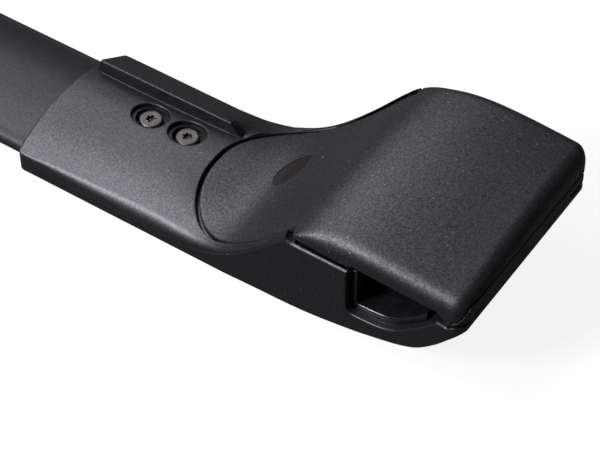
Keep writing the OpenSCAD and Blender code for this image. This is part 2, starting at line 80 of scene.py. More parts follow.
class Sock:
    """A node's output in a material, so that shader maths reads as an expression."""

    def __init__(self, graph: "Graph", out: bpy.types.NodeSocket) -> None:
        """Wraps one output.

        Args:
            graph: The graph that the output belongs to.
            out: The output.
        """
        self.graph = graph
        self.out = out

    def _math(self, operation: str, a: "Sock | float", b: "Sock | float") -> "Sock":
        """Adds one Math node and returns its result."""
        node = self.graph.node("ShaderNodeMath", {"operation": operation}, {0: a, 1: b})
        return self.graph.sock(node)

    def __add__(self, other: "Sock | float") -> "Sock":
        """Sum."""
        return self._math("ADD", self, other)

    def __radd__(self, other: float) -> "Sock":
        """Sum, with the number first."""
        return self._math("ADD", other, self)

    def __sub__(self, other: "Sock | float") -> "Sock":
        """Difference."""
        return self._math("SUBTRACT", self, other)

    def __rsub__(self, other: float) -> "Sock":
        """Difference, with the number first."""
        return self._math("SUBTRACT", other, self)

    def __mul__(self, other: "Sock | float") -> "Sock":
        """Product."""
        return self._math("MULTIPLY", self, other)

    def __rmul__(self, other: float) -> "Sock":
        """Product, with the number first."""
        return self._math("MULTIPLY", other, self)

    def between(self, low: float, high: float) -> "Sock":
        """Maps a span of values to 0..1 with a soft start and end.

        Args:
            low: The value that becomes 0.
            high: The value that becomes 1.

        Returns:
            The mapped value.
        """
        values = {"Value": self, "From Min": low, "From Max": high}
        node = self.graph.node("ShaderNodeMapRange", {"interpolation_type": "SMOOTHSTEP"}, values)
        return self.graph.sock(node)


class Graph:
    """The node tree of one material."""

    def __init__(self, name: str) -> None:
        """Starts an empty tree.

        Args:
            name: The material's name.
        """
        self.material = bpy.data.materials.new(name)
        self.material.use_nodes = True
        self.tree = self.material.node_tree
        self.tree.nodes.clear()

    def node(self, kind: str, settings: dict | None = None, values: dict | None = None) -> bpy.types.Node:
        """Adds a node.

        Args:
            kind: The node's type.
            settings: Its settings, such as an operation.
            values: Numbers or links for its inputs, by name or place.

        Returns:
            The node.
        """
        node = self.tree.nodes.new(kind)
        for key, value in (settings or {}).items():
            setattr(node, key, value)
        for key, value in (values or {}).items():
            if isinstance(value, Sock):
                self.tree.links.new(value.out, node.inputs[key])
            else:
                node.inputs[key].default_value = value
        return node

    def sock(self, node: bpy.types.Node, name: str | int = 0) -> Sock:
        """Wraps an output of a node."""
        return Sock(self, node.outputs[name])

    def place(self) -> Sock:
        """The point on the piece, in metres."""
        return self.sock(self.node("ShaderNodeTexCoord"), "Object")

    def noise(self, size: float, detail: float = 2.0, rough: float = 0.5) -> Sock:
        """Cloudy values from 0 to 1.

        Args:
            size: The size of the clouds in millimetres.
            detail: How many finer layers lie on them.
            rough: How strong the finer layers are.

        Returns:
            The values.
        """
        values = {"Vector": self.place(), "Scale": 1 / (size * MM), "Detail": detail, "Roughness": rough}
        return self.sock(self.node("ShaderNodeTexNoise", None, values), "Fac")

    def cells(self, size: float, feature: str = "F1") -> Sock:
        """Distances from points strewn about, in shares of their spacing.

        Args:
            size: The spacing of the points in millimetres.
            feature: Which distance.

        Returns:
            The distances.
        """
        values = {"Vector": self.place(), "Scale": 1 / (size * MM)}
        return self.sock(self.node("ShaderNodeTexVoronoi", {"feature": feature}, values), "Distance")

    def blend(self, share: Sock, a: tuple[float, ...], b: tuple[float, ...]) -> Sock:
        """Mixes two colours."""
        node = self.node("ShaderNodeMix", {"data_type": "RGBA"}, {0: share, 6: (*a, 1), 7: (*b, 1)})
        return self.sock(node, 2)

    def relief(self, height: Sock, depth: float, strength: float, soft_edge: float = 0.0) -> Sock:
        """A surface normal for a fine relief, over edges that are softened by a small radius.

        Args:
            height: The relief's height from 0 to 1.
            depth: Its depth in millimetres.
            strength: How much of it shows.
            soft_edge: The radius of the softened edges in millimetres.

        Returns:
            The normal.
        """
        values = {"Height": height, "Distance": depth * MM, "Strength": strength}
        if soft_edge:
            bevel = self.node("ShaderNodeBevel", {"samples": 6}, {"Radius": soft_edge * MM})
            values["Normal"] = self.sock(bevel)
        return self.sock(self.node("ShaderNodeBump", None, values))

    def surface(self, values: dict) -> bpy.types.Material:
        """Ends the tree in a shader with these inputs, and returns the material."""
        shader = self.node("ShaderNodeBsdfPrincipled", None, values)
        end = self.node("ShaderNodeOutputMaterial")
        self.tree.links.new(shader.outputs[0], end.inputs[0])
        return self.material


# Finishes


@dataclass(frozen=True)
class Finish:
    """How one kind of surface looks."""

    name: str
    slot: str
    tint: tuple[float, float, float]
    roughness: float

    def material(self) -> bpy.types.Material:
        """Builds the finish's material."""
        raise NotImplementedError


@dataclass(frozen=True)
class GrainedBlack(Finish):
    """Black coating or moulding with a fine grain, some dust and worn tones."""

    grain: float = 0.5
    grain_depth: float = 0.03
    grain_strength: float = 0.5
    patch: float = 38.0
    spread: float = 0.06
    dust: float = 3.0
    dust_r: float = 0.2
    soft_edge: float = 0.35
    specular: float = 0.5
    sheen: float = 0.6
    sparkle: float = 4.2
    grain_mid: float = 0.54
    inlay: tuple[float, float, float] | None = None

    def material(self) -> bpy.types.Material:
        """Builds the material: grain in the relief, patches in the gloss, dust in the colour, and painted shade that
        takes the sheen off marked faces.
        """
        g = Graph(self.name)
        fine = g.noise(self.grain, 3.0, 0.65)
        pits = g.cells(self.grain * 1.7, "SMOOTH_F1")
        height = fine * 0.85 + pits * 0.25
        patches = g.noise(self.patch, 3.0, 0.55).between(0.3, 0.7)
        gloss = self.roughness - self.spread / 2 + patches * self.spread + (fine - 0.5) * 0.10
        dust = 1.0 - g.cells(self.dust).between(self.dust_r / self.dust * 0.6, self.dust_r / self.dust)
        dusty = dust * g.noise(self.patch * 0.6, 1.0).between(0.42, 0.62)
        dark = tuple(c * 0.8 for c in self.tint)
        light = tuple(c * 1.25 for c in self.tint)
        base = g.blend(fine.between(0.3, 0.7), dark, light)
        mixed = g.node("ShaderNodeMix", {"data_type": "RGBA"}, {0: dusty * 0.7, 6: base, 7: (0.42, 0.42, 0.44, 1)})
        if self.inlay:
            marked = g.sock(g.node("ShaderNodeAttribute", {"attribute_name": "notch"}), "Fac")
            mixed = g.node("ShaderNodeMix", {"data_type": "RGBA"}, {0: marked, 6: g.sock(mixed, 2), 7: (*self.inlay, 1)})
            gloss = gloss - marked * 0.1
            height = height * (1.0 - marked * 0.8)
        # Painted shade: faces marked with this attribute lose most of their sheen, so they render dark as if shade fell
        # on them
        sheen_after_painted_shade = 1.0 - g.sock(g.node("ShaderNodeAttribute", {"attribute_name": "painted_shade"}), "Fac") * 0.9
        return g.surface({
            "Base Color": g.sock(mixed, 2),
            "Roughness": gloss,
            "Specular IOR Level": self.specular * (1 - self.sheen),
            "Coat Weight": self.sheen * self.specular * 2 * (1.0 + (height - self.grain_mid) * self.sparkle) * sheen_after_painted_shade,
            "Coat Roughness": self.roughness,
            "Normal": g.relief(height, self.grain_depth, self.grain_strength, self.soft_edge),
        })


@dataclass(frozen=True)
class Rubber(Finish):
    """Black rubber, matte on its faces and glossier where it is rubbed."""

    rubbed: float = 9.0

    def material(self) -> bpy.types.Material:
        """Builds the material."""
        g = Graph(self.name)
        rubs = g.noise(self.rubbed, 3.0, 0.6).between(0.42, 0.68)
        fine = g.noise(0.35, 2.0)
        base = g.blend(rubs, self.tint, tuple(c * 1.3 for c in self.tint))
        return g.surface({
            "Base Color": base,
            "Roughness": self.roughness + rubs * 0.08 + (fine - 0.5) * 0.08,
            "Normal": g.relief(fine + rubs * 0.3, 0.05, 0.35, 0.6),
        })


@dataclass(frozen=True)
class PlatedSteel(Finish):
    """Steel with a thin plating: fine turning marks and worn, duller patches."""

    worn: tuple[float, float, float] = (0.62, 0.61, 0.6)
    metallic: float = 1.0

    def material(self) -> bpy.types.Material:
        """Builds the material."""
        g = Graph(self.name)
        clouds = g.noise(2.4, 4.0, 0.6)
        fine = g.noise(0.16, 2.0)
        base = g.blend(clouds.between(0.5, 0.78), self.tint, self.worn)
        return g.surface({
            "Base Color": base,
            "Metallic": self.metallic,
            "Roughness": self.roughness + (clouds - 0.5) * 0.3 + (fine - 0.5) * 0.12,
            "Normal": g.relief(fine, 0.012, 0.5, 0.2),
        })


@dataclass(frozen=True)
class CastMetal(Finish):
    """Light metal as it leaves the mould and the blasting drum."""

    def material(self) -> bpy.types.Material:
        """Builds the material."""
        g = Graph(self.name)
        skin = g.noise(0.9, 4.0, 0.7)
        stains = g.noise(14.0, 3.0, 0.6).between(0.4, 0.7)
        base = g.blend(stains, self.tint, tuple(c * 0.7 for c in self.tint))
        return g.surface({
            "Base Color": base,
            "Metallic": 1.0,
            "Roughness": self.roughness + (skin - 0.5) * 0.2,
            "Normal": g.relief(skin, 0.05, 0.6, 0.4),
        })


FINISHES: dict[str, Finish] = {
    "bar": GrainedBlack("bar_black", "bar_coating", (0.0085, 0.0085, 0.0095), 0.5, grain=0.45,
                        grain_depth=0.03, grain_strength=1.0, dust=5.0, dust_r=0.16, soft_edge=0.0,
                        specular=0.3),
    "foot": GrainedBlack("foot_black", "foot_coating", (0.0035, 0.0035, 0.0042), 0.43, grain=0.55,
                         grain_depth=0.05, grain_strength=1.0, dust=4.4, dust_r=0.2),
    "cover": GrainedBlack("cover_black", "cover_plastic", (0.006, 0.006, 0.007), 0.47, grain=0.62,
                          grain_depth=0.08, grain_strength=1.0, dust=3.2, dust_r=0.24, specular=0.44, sparkle=6.0,
                          inlay=(0.0095, 0.0075, 0.0072)),
    "rubber": Rubber("liner_black", "liner_rubber", (0.004, 0.004, 0.0044), 0.24),
    "screw": PlatedSteel("screw_grey", "screw_steel", (0.072, 0.066, 0.062), 0.4, worn=(0.15, 0.142, 0.134)),
    "zinc": PlatedSteel("zinc_bright", "zinc_steel", (0.55, 0.56, 0.58), 0.3),
    "pin": PlatedSteel("pin_bright", "pin_steel", (0.5, 0.5, 0.51), 0.22),
    "spring": PlatedSteel("spring_dark", "spring_steel", (0.1, 0.1, 0.11), 0.35, worn=(0.25, 0.23, 0.2)),
    "jaw": CastMetal("jaw_cast", "jaw_metal", (0.36, 0.36, 0.37), 0.5),
}


# Meshes in millimetres


class Cut(Enum):
    """What a tool does to a body."""

    TAKE = "DIFFERENCE"
    ADD = "UNION"
    KEEP = "INTERSECT"


def new_solid(name: str, vertices: np.ndarray, faces: Sequence[Sequence[int]]) -> bpy.types.Object:
    """Makes a closed mesh with its faces outward.

    Args:
        name: The object's name.
        vertices: Its points.
        faces: Its faces, as places in the list of points.

    Returns:
        The object.
    """
    mesh = bpy.data.meshes.new(name)
    mesh.from_pydata([tuple(v) for v in vertices], [], [tuple(f) for f in faces])
    tidy = bmesh.new()
    tidy.from_mesh(mesh)
    bmesh.ops.recalc_face_normals(tidy, faces=tidy.faces)
    tidy.to_mesh(mesh)
    tidy.free()
    solid = bpy.data.objects.new(name, mesh)
    bpy.context.collection.objects.link(solid)
    return solid


def loft(name: str, rings: Sequence[np.ndarray]) -> bpy.types.Object:
    """Joins rings with as many points each into a closed body.

    Args:
        name: The object's name.
        rings: The rings, each an array of points.

    Returns:
        The body.
    """
    n, m = len(rings[0]), len(rings)
    faces: list[list[int]] = [list(range(n)), [(m - 1) * n + j for j in range(n)][::-1]]
    for i in range(m - 1):
        for j in range(n):
            k = (j + 1) % n
            faces.append([i * n + j, (i + 1) * n + j, (i + 1) * n + k, i * n + k])
    return new_solid(name, np.concatenate(rings), faces)


def outline_out(outline: np.ndarray) -> np.ndarray:
    """Directions that point out of a flat outline at its corners.

    Args:
        outline: The corners, turning left.

    Returns:
        A direction for each corner, long enough to move both of its sides by one.
    """
    ahead = np.roll(outline, -1, 0) - outline
    ahead /= np.maximum(np.linalg.norm(ahead, axis=1, keepdims=True), 1e-9)
    behind = np.roll(ahead, 1, 0)
    normal = np.stack([ahead[:, 1] + behind[:, 1], -ahead[:, 0] - behind[:, 0]], 1)
    length = np.maximum(np.linalg.norm(normal, axis=1, keepdims=True), 1e-9)
    normal /= length
    along = (normal * np.stack([ahead[:, 1], -ahead[:, 0]], 1)).sum(1, keepdims=True)
    return normal / np.maximum(along, 0.6)


class Axis(Enum):
    """The direction in which a flat outline is run."""

    X = 0
    Y = 1
    Z = 2


def stand(outline: np.ndarray, height: float, axis: Axis) -> np.ndarray:
    """Puts a flat outline across an axis.

    Args:
        outline: The corners: y and z for X, x and z for Y, x and y for Z.
        height: Its place on the axis.
        axis: The axis.

    Returns:
        The points.
    """
    points = np.full((len(outline), 3), float(height))
    first, second = [i for i in range(3) if i != axis.value]
    points[:, first] = outline[:, 0]
    points[:, second] = outline[:, 1]
    return points


def prism(name: str, outline: np.ndarray, a: float, b: float, axis: Axis, edge: float = 0.0,
          flare: float = 0.0) -> bpy.types.Object:
    """Runs an outline along an axis.

    Args:
        name: The object's name.
        outline: The corners, turning left.
        a: Where it starts.
        b: Where it ends.
        axis: The axis.
        edge: Radius of the rounded edge at either end.
        flare: Grows a cutter by this much just outside its ends, for a rounded mouth.

    Returns:
        The body.
    """
    out = outline_out(outline)
    steps: list[tuple[float, float]] = []
    if edge:
        arc = [math.radians(t) for t in (0, 30, 60, 90)]
        steps += [(a + edge * (1 - math.sin(t)), -edge * (1 - math.cos(t))) for t in arc[::-1]]
        steps += [(b - edge * (1 - math.sin(t)), -edge * (1 - math.cos(t))) for t in arc]
    elif flare:
        arc = [math.radians(t) for t in (0, 30, 60, 90)]
        steps += [(a - 5, flare)]
        steps += [(a + flare * (1 - math.sin(t)), flare * (1 - math.cos(t))) for t in arc[::-1]]
        steps += [(b - flare * (1 - math.sin(t)), flare * (1 - math.cos(t))) for t in arc]
        steps += [(b + 5, flare)]
    else:
        steps += [(a, 0.0), (b, 0.0)]
    return loft(name, [stand(outline + out * grow, place, axis) for place, grow in steps])


def box(name: str, low: Sequence[float], size: Sequence[float], edge: float = 0.0) -> bpy.types.Object:
    """A block with rounded edges.

    Args:
        name: The object's name.
        low: Its lowest corner.
        size: Its size.
        edge: Radius of its edges.

    Returns:
        The body.
    """
    shape = bmesh.new()
    bmesh.ops.create_cube(shape, size=1.0)
    for v in shape.verts:
        v.co = Vector([low[i] + (v.co[i] + 0.5) * size[i] for i in range(3)])
    if edge:
        bmesh.ops.bevel(shape, geom=shape.edges[:], offset=edge, segments=3, profile=0.5, affect="EDGES")
    mesh = bpy.data.meshes.new(name)
    shape.to_mesh(mesh)
    shape.free()
    solid = bpy.data.objects.new(name, mesh)
    bpy.context.collection.objects.link(solid)
    return solid


def turned(name: str, profile: Sequence[tuple[float, float]], at: Sequence[float], axis: Axis = Axis.Z,
           steps: int = 64) -> bpy.types.Object:
    """Turns a profile about an axis.

    Args:
        name: The object's name.
        profile: Radius and height of each ring, from one end to the other.
        at: The point on the axis from which heights count.
        axis: The axis.
        steps: Number of sides.

    Returns:
        The body.
    """
    turn = np.linspace(0, 2 * np.pi, steps, endpoint=False)
    first, second = [i for i in range(3) if i != axis.value]
    rings = []
    for radius, height in profile:
        ring = np.zeros((steps, 3))
        ring[:, first] = radius * np.cos(turn)
        ring[:, second] = radius * np.sin(turn)
        ring[:, axis.value] = height
        rings.append(ring + np.array(at))
    return loft(name, rings)


def rod(name: str, radius: float, a: float, b: float, at: Sequence[float], axis: Axis = Axis.Z,
        edge: float = 0.0, steps: int = 64) -> bpy.types.Object:
    """A round bar or bore from a to b along an axis, with a rounded edge at either end."""
    ends = [(radius, a), (radius, b)]
    if edge:
        ends = [(radius - edge, a), (radius - edge * 0.3, a + edge * 0.3), (radius, a + edge),
                (radius, b - edge), (radius - edge * 0.3, b - edge * 0.3), (radius - edge, b)]
    return turned(name, ends, at, axis, steps)


def work(body: bpy.types.Object, cut: Cut, *tools: bpy.types.Object) -> bpy.types.Object:
    """Cuts tools out of a body, joins them to it, or keeps what is in both.

    Args:
        body: The body, which is changed.
        cut: What is done.
        tools: The tools, which are used up.

    Returns:
        The body.
    """
    for tool in tools:
        step = body.modifiers.new(tool.name, "BOOLEAN")
        step.operation = cut.value
        step.solver = "MANIFOLD"
        step.object = tool
    bpy.context.view_layer.update()
    shaped = bpy.data.meshes.new_from_object(body.evaluated_get(bpy.context.evaluated_depsgraph_get()))
    body.modifiers.clear()
    old, body.data = body.data, shaped
    bpy.data.meshes.remove(old)
    for tool in tools:
        mesh = tool.data
        bpy.data.objects.remove(tool)
        bpy.data.meshes.remove(mesh)
    return body


def open_edges(mesh: bpy.types.Mesh) -> int:
    """Counts the edges of a mesh that don't join two faces."""
    count = bmesh.new()
    count.from_mesh(mesh)
    wrong = sum(1 for e in count.edges if not e.is_manifold)
    count.free()
    return wrong


# The form of a foot


class Track:
    """A size that changes along the foot, on a smooth curve through its stations."""

    def __init__(self, stations: Sequence[tuple[float, float]], soften: float = 0.0) -> None:
        """Works out the slopes.

        Args:
            stations: Places along the foot and the size at each.
            soften: How far the curve is evened out along the foot.
        """
        self.x, self.y = np.array(stations, float).T
        slope = np.zeros(len(self.x))
        slope[1:-1] = (self.y[2:] - self.y[:-2]) / (self.x[2:] - self.x[:-2])
        slope[-1] = (self.y[-1] - self.y[-2]) / (self.x[-1] - self.x[-2])
        self.slope = slope
        self.soft: tuple[np.ndarray, np.ndarray] | None = None
        if soften:
            step = 0.25
            window = np.exp(-0.5 * (np.arange(-4 * soften, 4 * soften + step, step) / soften) ** 2)
            reach = (len(window) - 1) / 2 * step
            grid = np.arange(self.x[0] - reach, self.x[-1] + reach, step)
            inner = np.clip(grid, self.x[0], self.x[-1])
            values = self(inner) + (grid - inner) * np.where(grid > inner, slope[-1], slope[0])
            even = np.convolve(values, window / window.sum(), "valid")
            self.soft = grid[len(window) // 2:len(window) // 2 + len(even)], even

    def __call__(self, x: np.ndarray | float) -> np.ndarray:
        """The size at some places."""
        x = np.asarray(x, float)
        if self.soft:
            return np.interp(x, *self.soft)
        i = np.clip(np.searchsorted(self.x, x, side="right") - 1, 0, len(self.x) - 2)
        span = self.x[i + 1] - self.x[i]
        t = np.maximum((x - self.x[i]) / span, 0)
        rise = (2 * t**3 - 3 * t**2 + 1) * self.y[i] + (3 * t**2 - 2 * t**3) * self.y[i + 1]
        return rise + span * ((t**3 - 2 * t**2 + t) * self.slope[i] + (t**3 - t**2) * self.slope[i + 1])


def round_drop(radius: float, inside: np.ndarray | float) -> np.ndarray:
    """Drop of a quarter round at a distance inside its edge.

    Args:
        radius: The radius of the round.
        inside: The distance inside the edge.

    Returns:
        The drop.
    """
    left = np.clip(radius - np.asarray(inside, float), 0, radius)
    return radius - np.sqrt(np.maximum(radius**2 - left**2, 0))


def track(*stations: tuple[float, float], soften: float = 0.0) -> Track:
    """A dataclass default that holds a track."""
    return field(default_factory=lambda: Track(stations, soften))


@dataclass
class FootForm:
    """The outer form of a foot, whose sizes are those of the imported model."""

    bar_end: float = 72.0
    head: float = 149.0
    block: float = 22.7
    channel_w: float = 44.9
    hook: float = 10.4
    corner_r: float = 7.0
    end_r: float = 6.0
    mouth_r: float = 0.7
    mouth_corner: float = 2.4
    rim_w: float = 4.4
    mouth_under: float = 1.8
    lip: float = 40.3
    lip_r: float = 1.45
    width: float = 100.8
    ear: float = 140.8
    foot_edge: float = 1.2
    fillet_steps: int = 10
    crown_steps: int = 26
    near_top: Track = track(
        (0, 10.8), (24, 10), (48, 9.6), (72, 9.4), (88, 9.4), (98, 10.6), (110, 14.8), (126, 26.5), (134, 35),
        (141, 42.8), (149, 49), (157, 52), (166, 53.6), (178, 54), (195, 53.2), (212, 52), (230, 51), soften=4.0)
    far_top: Track = track(
        (0, 10.6), (48, 10.2), (72, 11), (88, 12.6), (98, 14), (110, 18), (126, 30), (134, 38), (141, 45.6),
        (149, 53.4), (157, 57.6), (166, 59.8), (178, 61.8), (195, 61.9), (212, 60.8), (230, 59.4), soften=4.0)
    bulge: Track = track(
        (0, 9.8), (48, 10.4), (72, 10.6), (88, 9.4), (98, 7.8), (110, 5.2), (126, 3.4), (141, 3), (230, 3), soften=4.0)
    far_plan: Track = track(
        (0, 73.2), (60, 73.6), (78, 75), (88, 77.4), (96, 80), (105, 83.2), (113, 86.3), (121, 89.5),
        (130, 92.6), (141, 95.8), (150, 98.2), (160, 100), (172, 100.8), (230, 100.8))
    parting: Track = track((0, 0), (6, 0.02), (16, 0.32), (72, 0.32), (130, 0.32), (139, 0.3), (141, 0.3), (143, 0), (230, 0))
    rim_rise: Track = track((0, 0), (84, 0), (96, 0.8), (104, 0.7), (118, 0.6), (130, 1.2), (142, 1.6), (148, 1.6), (230, 1.6))
    edge_round: Track = track(
        (0, 0.8), (24, 2.4), (48, 3.6), (72, 4.4), (98, 3.6), (126, 2), (141, 2.4), (149, 4.6), (160, 6), (230, 6))

    @property
    def channel(self) -> float:
        """Where the rail channel starts."""
        return self.head + self.block

    @property
    def channel_end(self) -> float:
        """Where the rail channel ends."""
        return self.channel + self.channel_w

    @property
    def length(self) -> float:
        """Length of the foot."""
        return self.channel_end + self.hook

    @property
    def mid_y(self) -> float:
        """Middle of the foot's width."""
        return self.width / 2

    @property
    def underside(self) -> Track:
        """Height of the underside along the foot."""
        end = self.length
        return Track([(0, 0), (104, 0), (110, 0), (124, 0.6), (150, 1.7), (174, 5.2), (188, 8.4), (end - 28.5, 11.4),
                      (end - 20.5, 15.3), (end - 12.4, 22.8), (end - 6, 30.4), (end - 0.5, 36.0), (end + 3, 40)])

    def inset(self, x: np.ndarray | float) -> np.ndarray:
        """How far the corners of the head and the mouth of the sleeve draw in at some places."""
        return round_drop(self.corner_r, self.length - np.asarray(x)) + round_drop(self.mouth_corner, x)

    def top(self, x: np.ndarray | float, y: np.ndarray | float) -> np.ndarray:
        """Height of the top surface.

        Args:
            x: Places along the foot.
            y: Places across it.

        Returns:
            The heights.
        """
        t = y / self.far_plan(x)
        height = self.near_top(x) * (1 - t) + self.far_top(x) * t + self.bulge(x) * 4 * t * (1 - t)
        return height - round_drop(self.end_r, self.length - x) - round_drop(self.mouth_r, x)

    def ring(self, x: float, inset: float = 0.0, roof: float = SKY, floor: float | None = None,
             rim: float = 0.0) -> np.ndarray:
        """One cross section.

        Args:
            x: Its place along the foot.
            inset: How far it lies inside the skin.
            roof: A height that cuts its top off, with a small rounded lip.
            floor: A height that cuts its bottom off, or None for the foot's own underside.
            rim: Share of the rise of the rim along the far side.

        Returns:
            Its points.
        """
        near = float(self.inset(x)) + inset
        far = float(self.far_plan(x)) - near
        bottom = floor
        if floor is None:
            bottom = float(self.underside(x)) + inset + float(round_drop(self.mouth_under, x))

        def roofed(y: float) -> float:
            """Height of the section's top."""
            rise = rim * float(self.rim_rise(x)) if y > far - self.rim_w else 0.0
            return min(float(self.top(x, y)) - inset + rise, roof)

        tall = roofed(near) - bottom
        low = min(self.foot_edge, 0.3 * tall)
        edge = (self.lip_r if x < self.length - 8.6 else 0.4) if roofed(near) >= roof else float(self.edge_round(x)) - inset
        edge = max(min(edge, 0.78 * tall - low), 0.15)
        step = float(self.parting(x))
        arc = np.radians(np.linspace(0, 90, self.fillet_steps + 1))
        foot_arc = np.radians(np.linspace(0, 90, 4))
        points = [(near + low * (1 - math.sin(a)), bottom + low * (1 - math.cos(a))) for a in foot_arc]
        points.append((near, roofed(near) - edge - 1.2 * step))
        for a in arc:
            y = near + step + edge * (1 - math.cos(a))
            points.append((y, roofed(y) - edge * (1 - math.sin(a))))
        for k in range(1, self.crown_steps):
            y = near + step + edge + (far - near - 2 * (edge + step)) * k / self.crown_steps
            points.append((y, roofed(y)))
        for a in arc[::-1]:
            y = far - step - edge * (1 - math.cos(a))
            points.append((y, roofed(y) - edge * (1 - math.sin(a))))
        points.append((far, roofed(far) - edge - 1.2 * step))
        points += [(far - low * (1 - math.sin(a)), bottom + low * (1 - math.cos(a))) for a in foot_arc[::-1]]
        return stand(np.array(points), x, Axis.X)

    def places(self, start: float, end: float, step: float = 1.7) -> np.ndarray:
        """Places for cross sections, closer together over the rounds at the foot's two ends.

        Args:
            start: The first place.
            end: The last place.
            step: The distance between them elsewhere.

        Returns:
            The places.
        """
        turn = np.radians(np.linspace(0, 90, 12))
        outer = self.length - self.corner_r * (1 - np.sin(turn))
        inner = self.mouth_corner * (1 - np.sin(turn[::2]))
        last = self.length - self.corner_r
        even = np.linspace(start, min(end, last), max(2, int((min(end, last) - start) / step)))
        every = np.concatenate([even, outer, inner, [start, end]])
        every = np.unique(every[(every >= start) & (every <= end)].round(4))
        return every[np.concatenate([[True], np.diff(every) > 0.004])]

    def body(self, name: str, start: float, end: float, inset: float = 0.0,
             roof: Callable[[float], float] | None = None, floor: Callable[[float], float] | None = None,
             extra: Sequence[float] = (), rim: float = 0.0) -> bpy.types.Object:
        """The foot's form between two places.

        Args:
            name: The object's name.
            start: Where it starts.
            end: Where it ends.
            inset: How far it lies inside the skin.
            roof: Height along the foot that cuts its top off.
            floor: Height along the foot that cuts its bottom off.
            extra: More places for cross sections.
            rim: Share of the rise of the rim along the far side.

        Returns:
            The body.
        """
        places = np.unique(np.concatenate([self.places(start, end), [e for e in extra if start < e < end]]))
        rings = [self.ring(x, inset, roof(x) if roof else SKY, floor(x) if floor else None, rim) for x in places]
        return loft(name, rings)

    def lipped(self, name: str, outline: np.ndarray, bottom: float, radius: float, outward: bool) -> bpy.types.Object:
        """A prism that rises through the foot's top and rounds the edge where it does.

        Args:
            name: The object's name.
            outline: Its plan, turning left.
            bottom: Its lowest height.
            radius: Radius of the rounded edge.
            outward: True for a cutter, whose wall flares; False for what is kept, whose wall draws in.

        Returns:
            The body.
        """
        out = outline_out(outline)
        side = 1 if outward else -1
        rings = [stand(outline, bottom, Axis.Z)]
        for a in np.radians([0, 22, 45, 68, 90]):
            plan = outline + out * side * radius * (1 - math.cos(a))
            ring = stand(plan, 0, Axis.Z)
            inside = np.clip(plan[:, 0], self.mouth_r, self.length - self.end_r)
            ring[:, 2] = self.top(inside, plan[:, 1]) - radius * (1 - math.sin(a))
            rings.append(ring)
        rings.append(stand(outline + out * side * radius, SKY, Axis.Z))
        return loft(name, rings)


# Sub-assemblies


@dataclass
class Tongue:
    """Plan of the cover's tongue: a round nose that lies in a groove of the casting."""

    form: FootForm
    nose: float = 81.5
    near_in: float = 4.4
    end: float = 144.6
    groove: float = 1.6
    hairline: float = 0.6
    far_gap: float = 1.5
    near_r: tuple[float, float] = (30.0, 31.0)
    far_r: tuple[float, float] = (36.0, 30.0)
    far_end: float = 147.2
    ear_r: tuple[float, float] = (4.3, 1.2)
    seat_gap: float = 0.5

    def near(self, x: np.ndarray) -> np.ndarray:
        """Near side of the tongue at some places."""
        share = 1 - np.minimum((x - self.nose) / self.near_r[0], 1)
        return self.near_in + self.near_r[1] * (1 - np.sqrt(1 - share**2.4))

    def far(self, x: np.ndarray) -> np.ndarray:
        """Far side of the tongue at some places."""
        share = 1 - np.minimum((x - self.nose) / self.far_r[0], 1)
        return self.form.far_plan(x) - self.near_in - self.far_r[1] * (1 - np.sqrt(1 - share**2.2))

    def sides(self, end: float) -> tuple[np.ndarray, np.ndarray]:
        """The two sides of the tongue from its nose on.

        Args:
            end: Where they end.

        Returns:
            The near side and the far side, both running outboard.
        """
        bend = np.linspace(0.02, 1, 30) ** 2
        straight = np.linspace(1.06, 2.0, 12)
        sides = []
        for reach, line in ((self.near_r[0], self.near), (self.far_r[0], self.far)):
            x = self.nose + np.concatenate([bend * reach, reach + (straight - 1) * (end - self.nose - reach)])
            sides.append(np.stack([x, line(x)], 1))
        return sides[0], sides[1]

    def groove_plan(self) -> np.ndarray:
        """Plan of the groove: wide round the nose, a hairline along the sides."""
        near, far = self.sides(self.head_end())
        outline = np.concatenate([near, far[::-1]])
        t = np.clip((outline[:, 0] - self.nose - 12) / 22, 0, 1)
        gap = self.hairline + (self.groove - self.hairline) * (1 - t * t * (3 - 2 * t))
        gap += self.widening(outline[:, 0]) * (outline[:, 1] > self.form.mid_y)
        return outline + outline_out(outline) * gap[:, None]

    def widening(self, x: np.ndarray | float) -> np.ndarray:
        """How much the groove widens along the far side at some places."""
        return self.far_gap * np.clip((np.asarray(x) - 112) / 26, 0, 1)

    def head_end(self) -> float:
        """Where the groove's plan ends, beyond the ears of the casting."""
        return self.form.ear + 6.2

    def cover_plan(self) -> np.ndarray:
        """Plan of the cover: the tongue, and the lid at full width with rounded front corners."""
        near, far = self.sides(self.end)
        width, out = float(self.form.far_plan(self.end)), 1.0
        turn = np.radians(np.linspace(0, 90, 7))
        ear, far_ear = [np.stack([start + r * (1 - np.cos(turn)), r - (r + out) * np.sin(turn)], 1)
                        for start, r in zip((self.end, self.far_end), self.ear_r)]
        far_ear[:, 1] = width - far_ear[:, 1]
        far_ear = np.concatenate([[[self.far_end, far[-1, 1]]], far_ear])
        end = self.form.length + 2
        tail = [(end, -out), (end, self.form.width + out), (self.end + 25, self.form.width + out)]
        return np.concatenate([near, ear, tail, far_ear[::-1], far[::-1]])


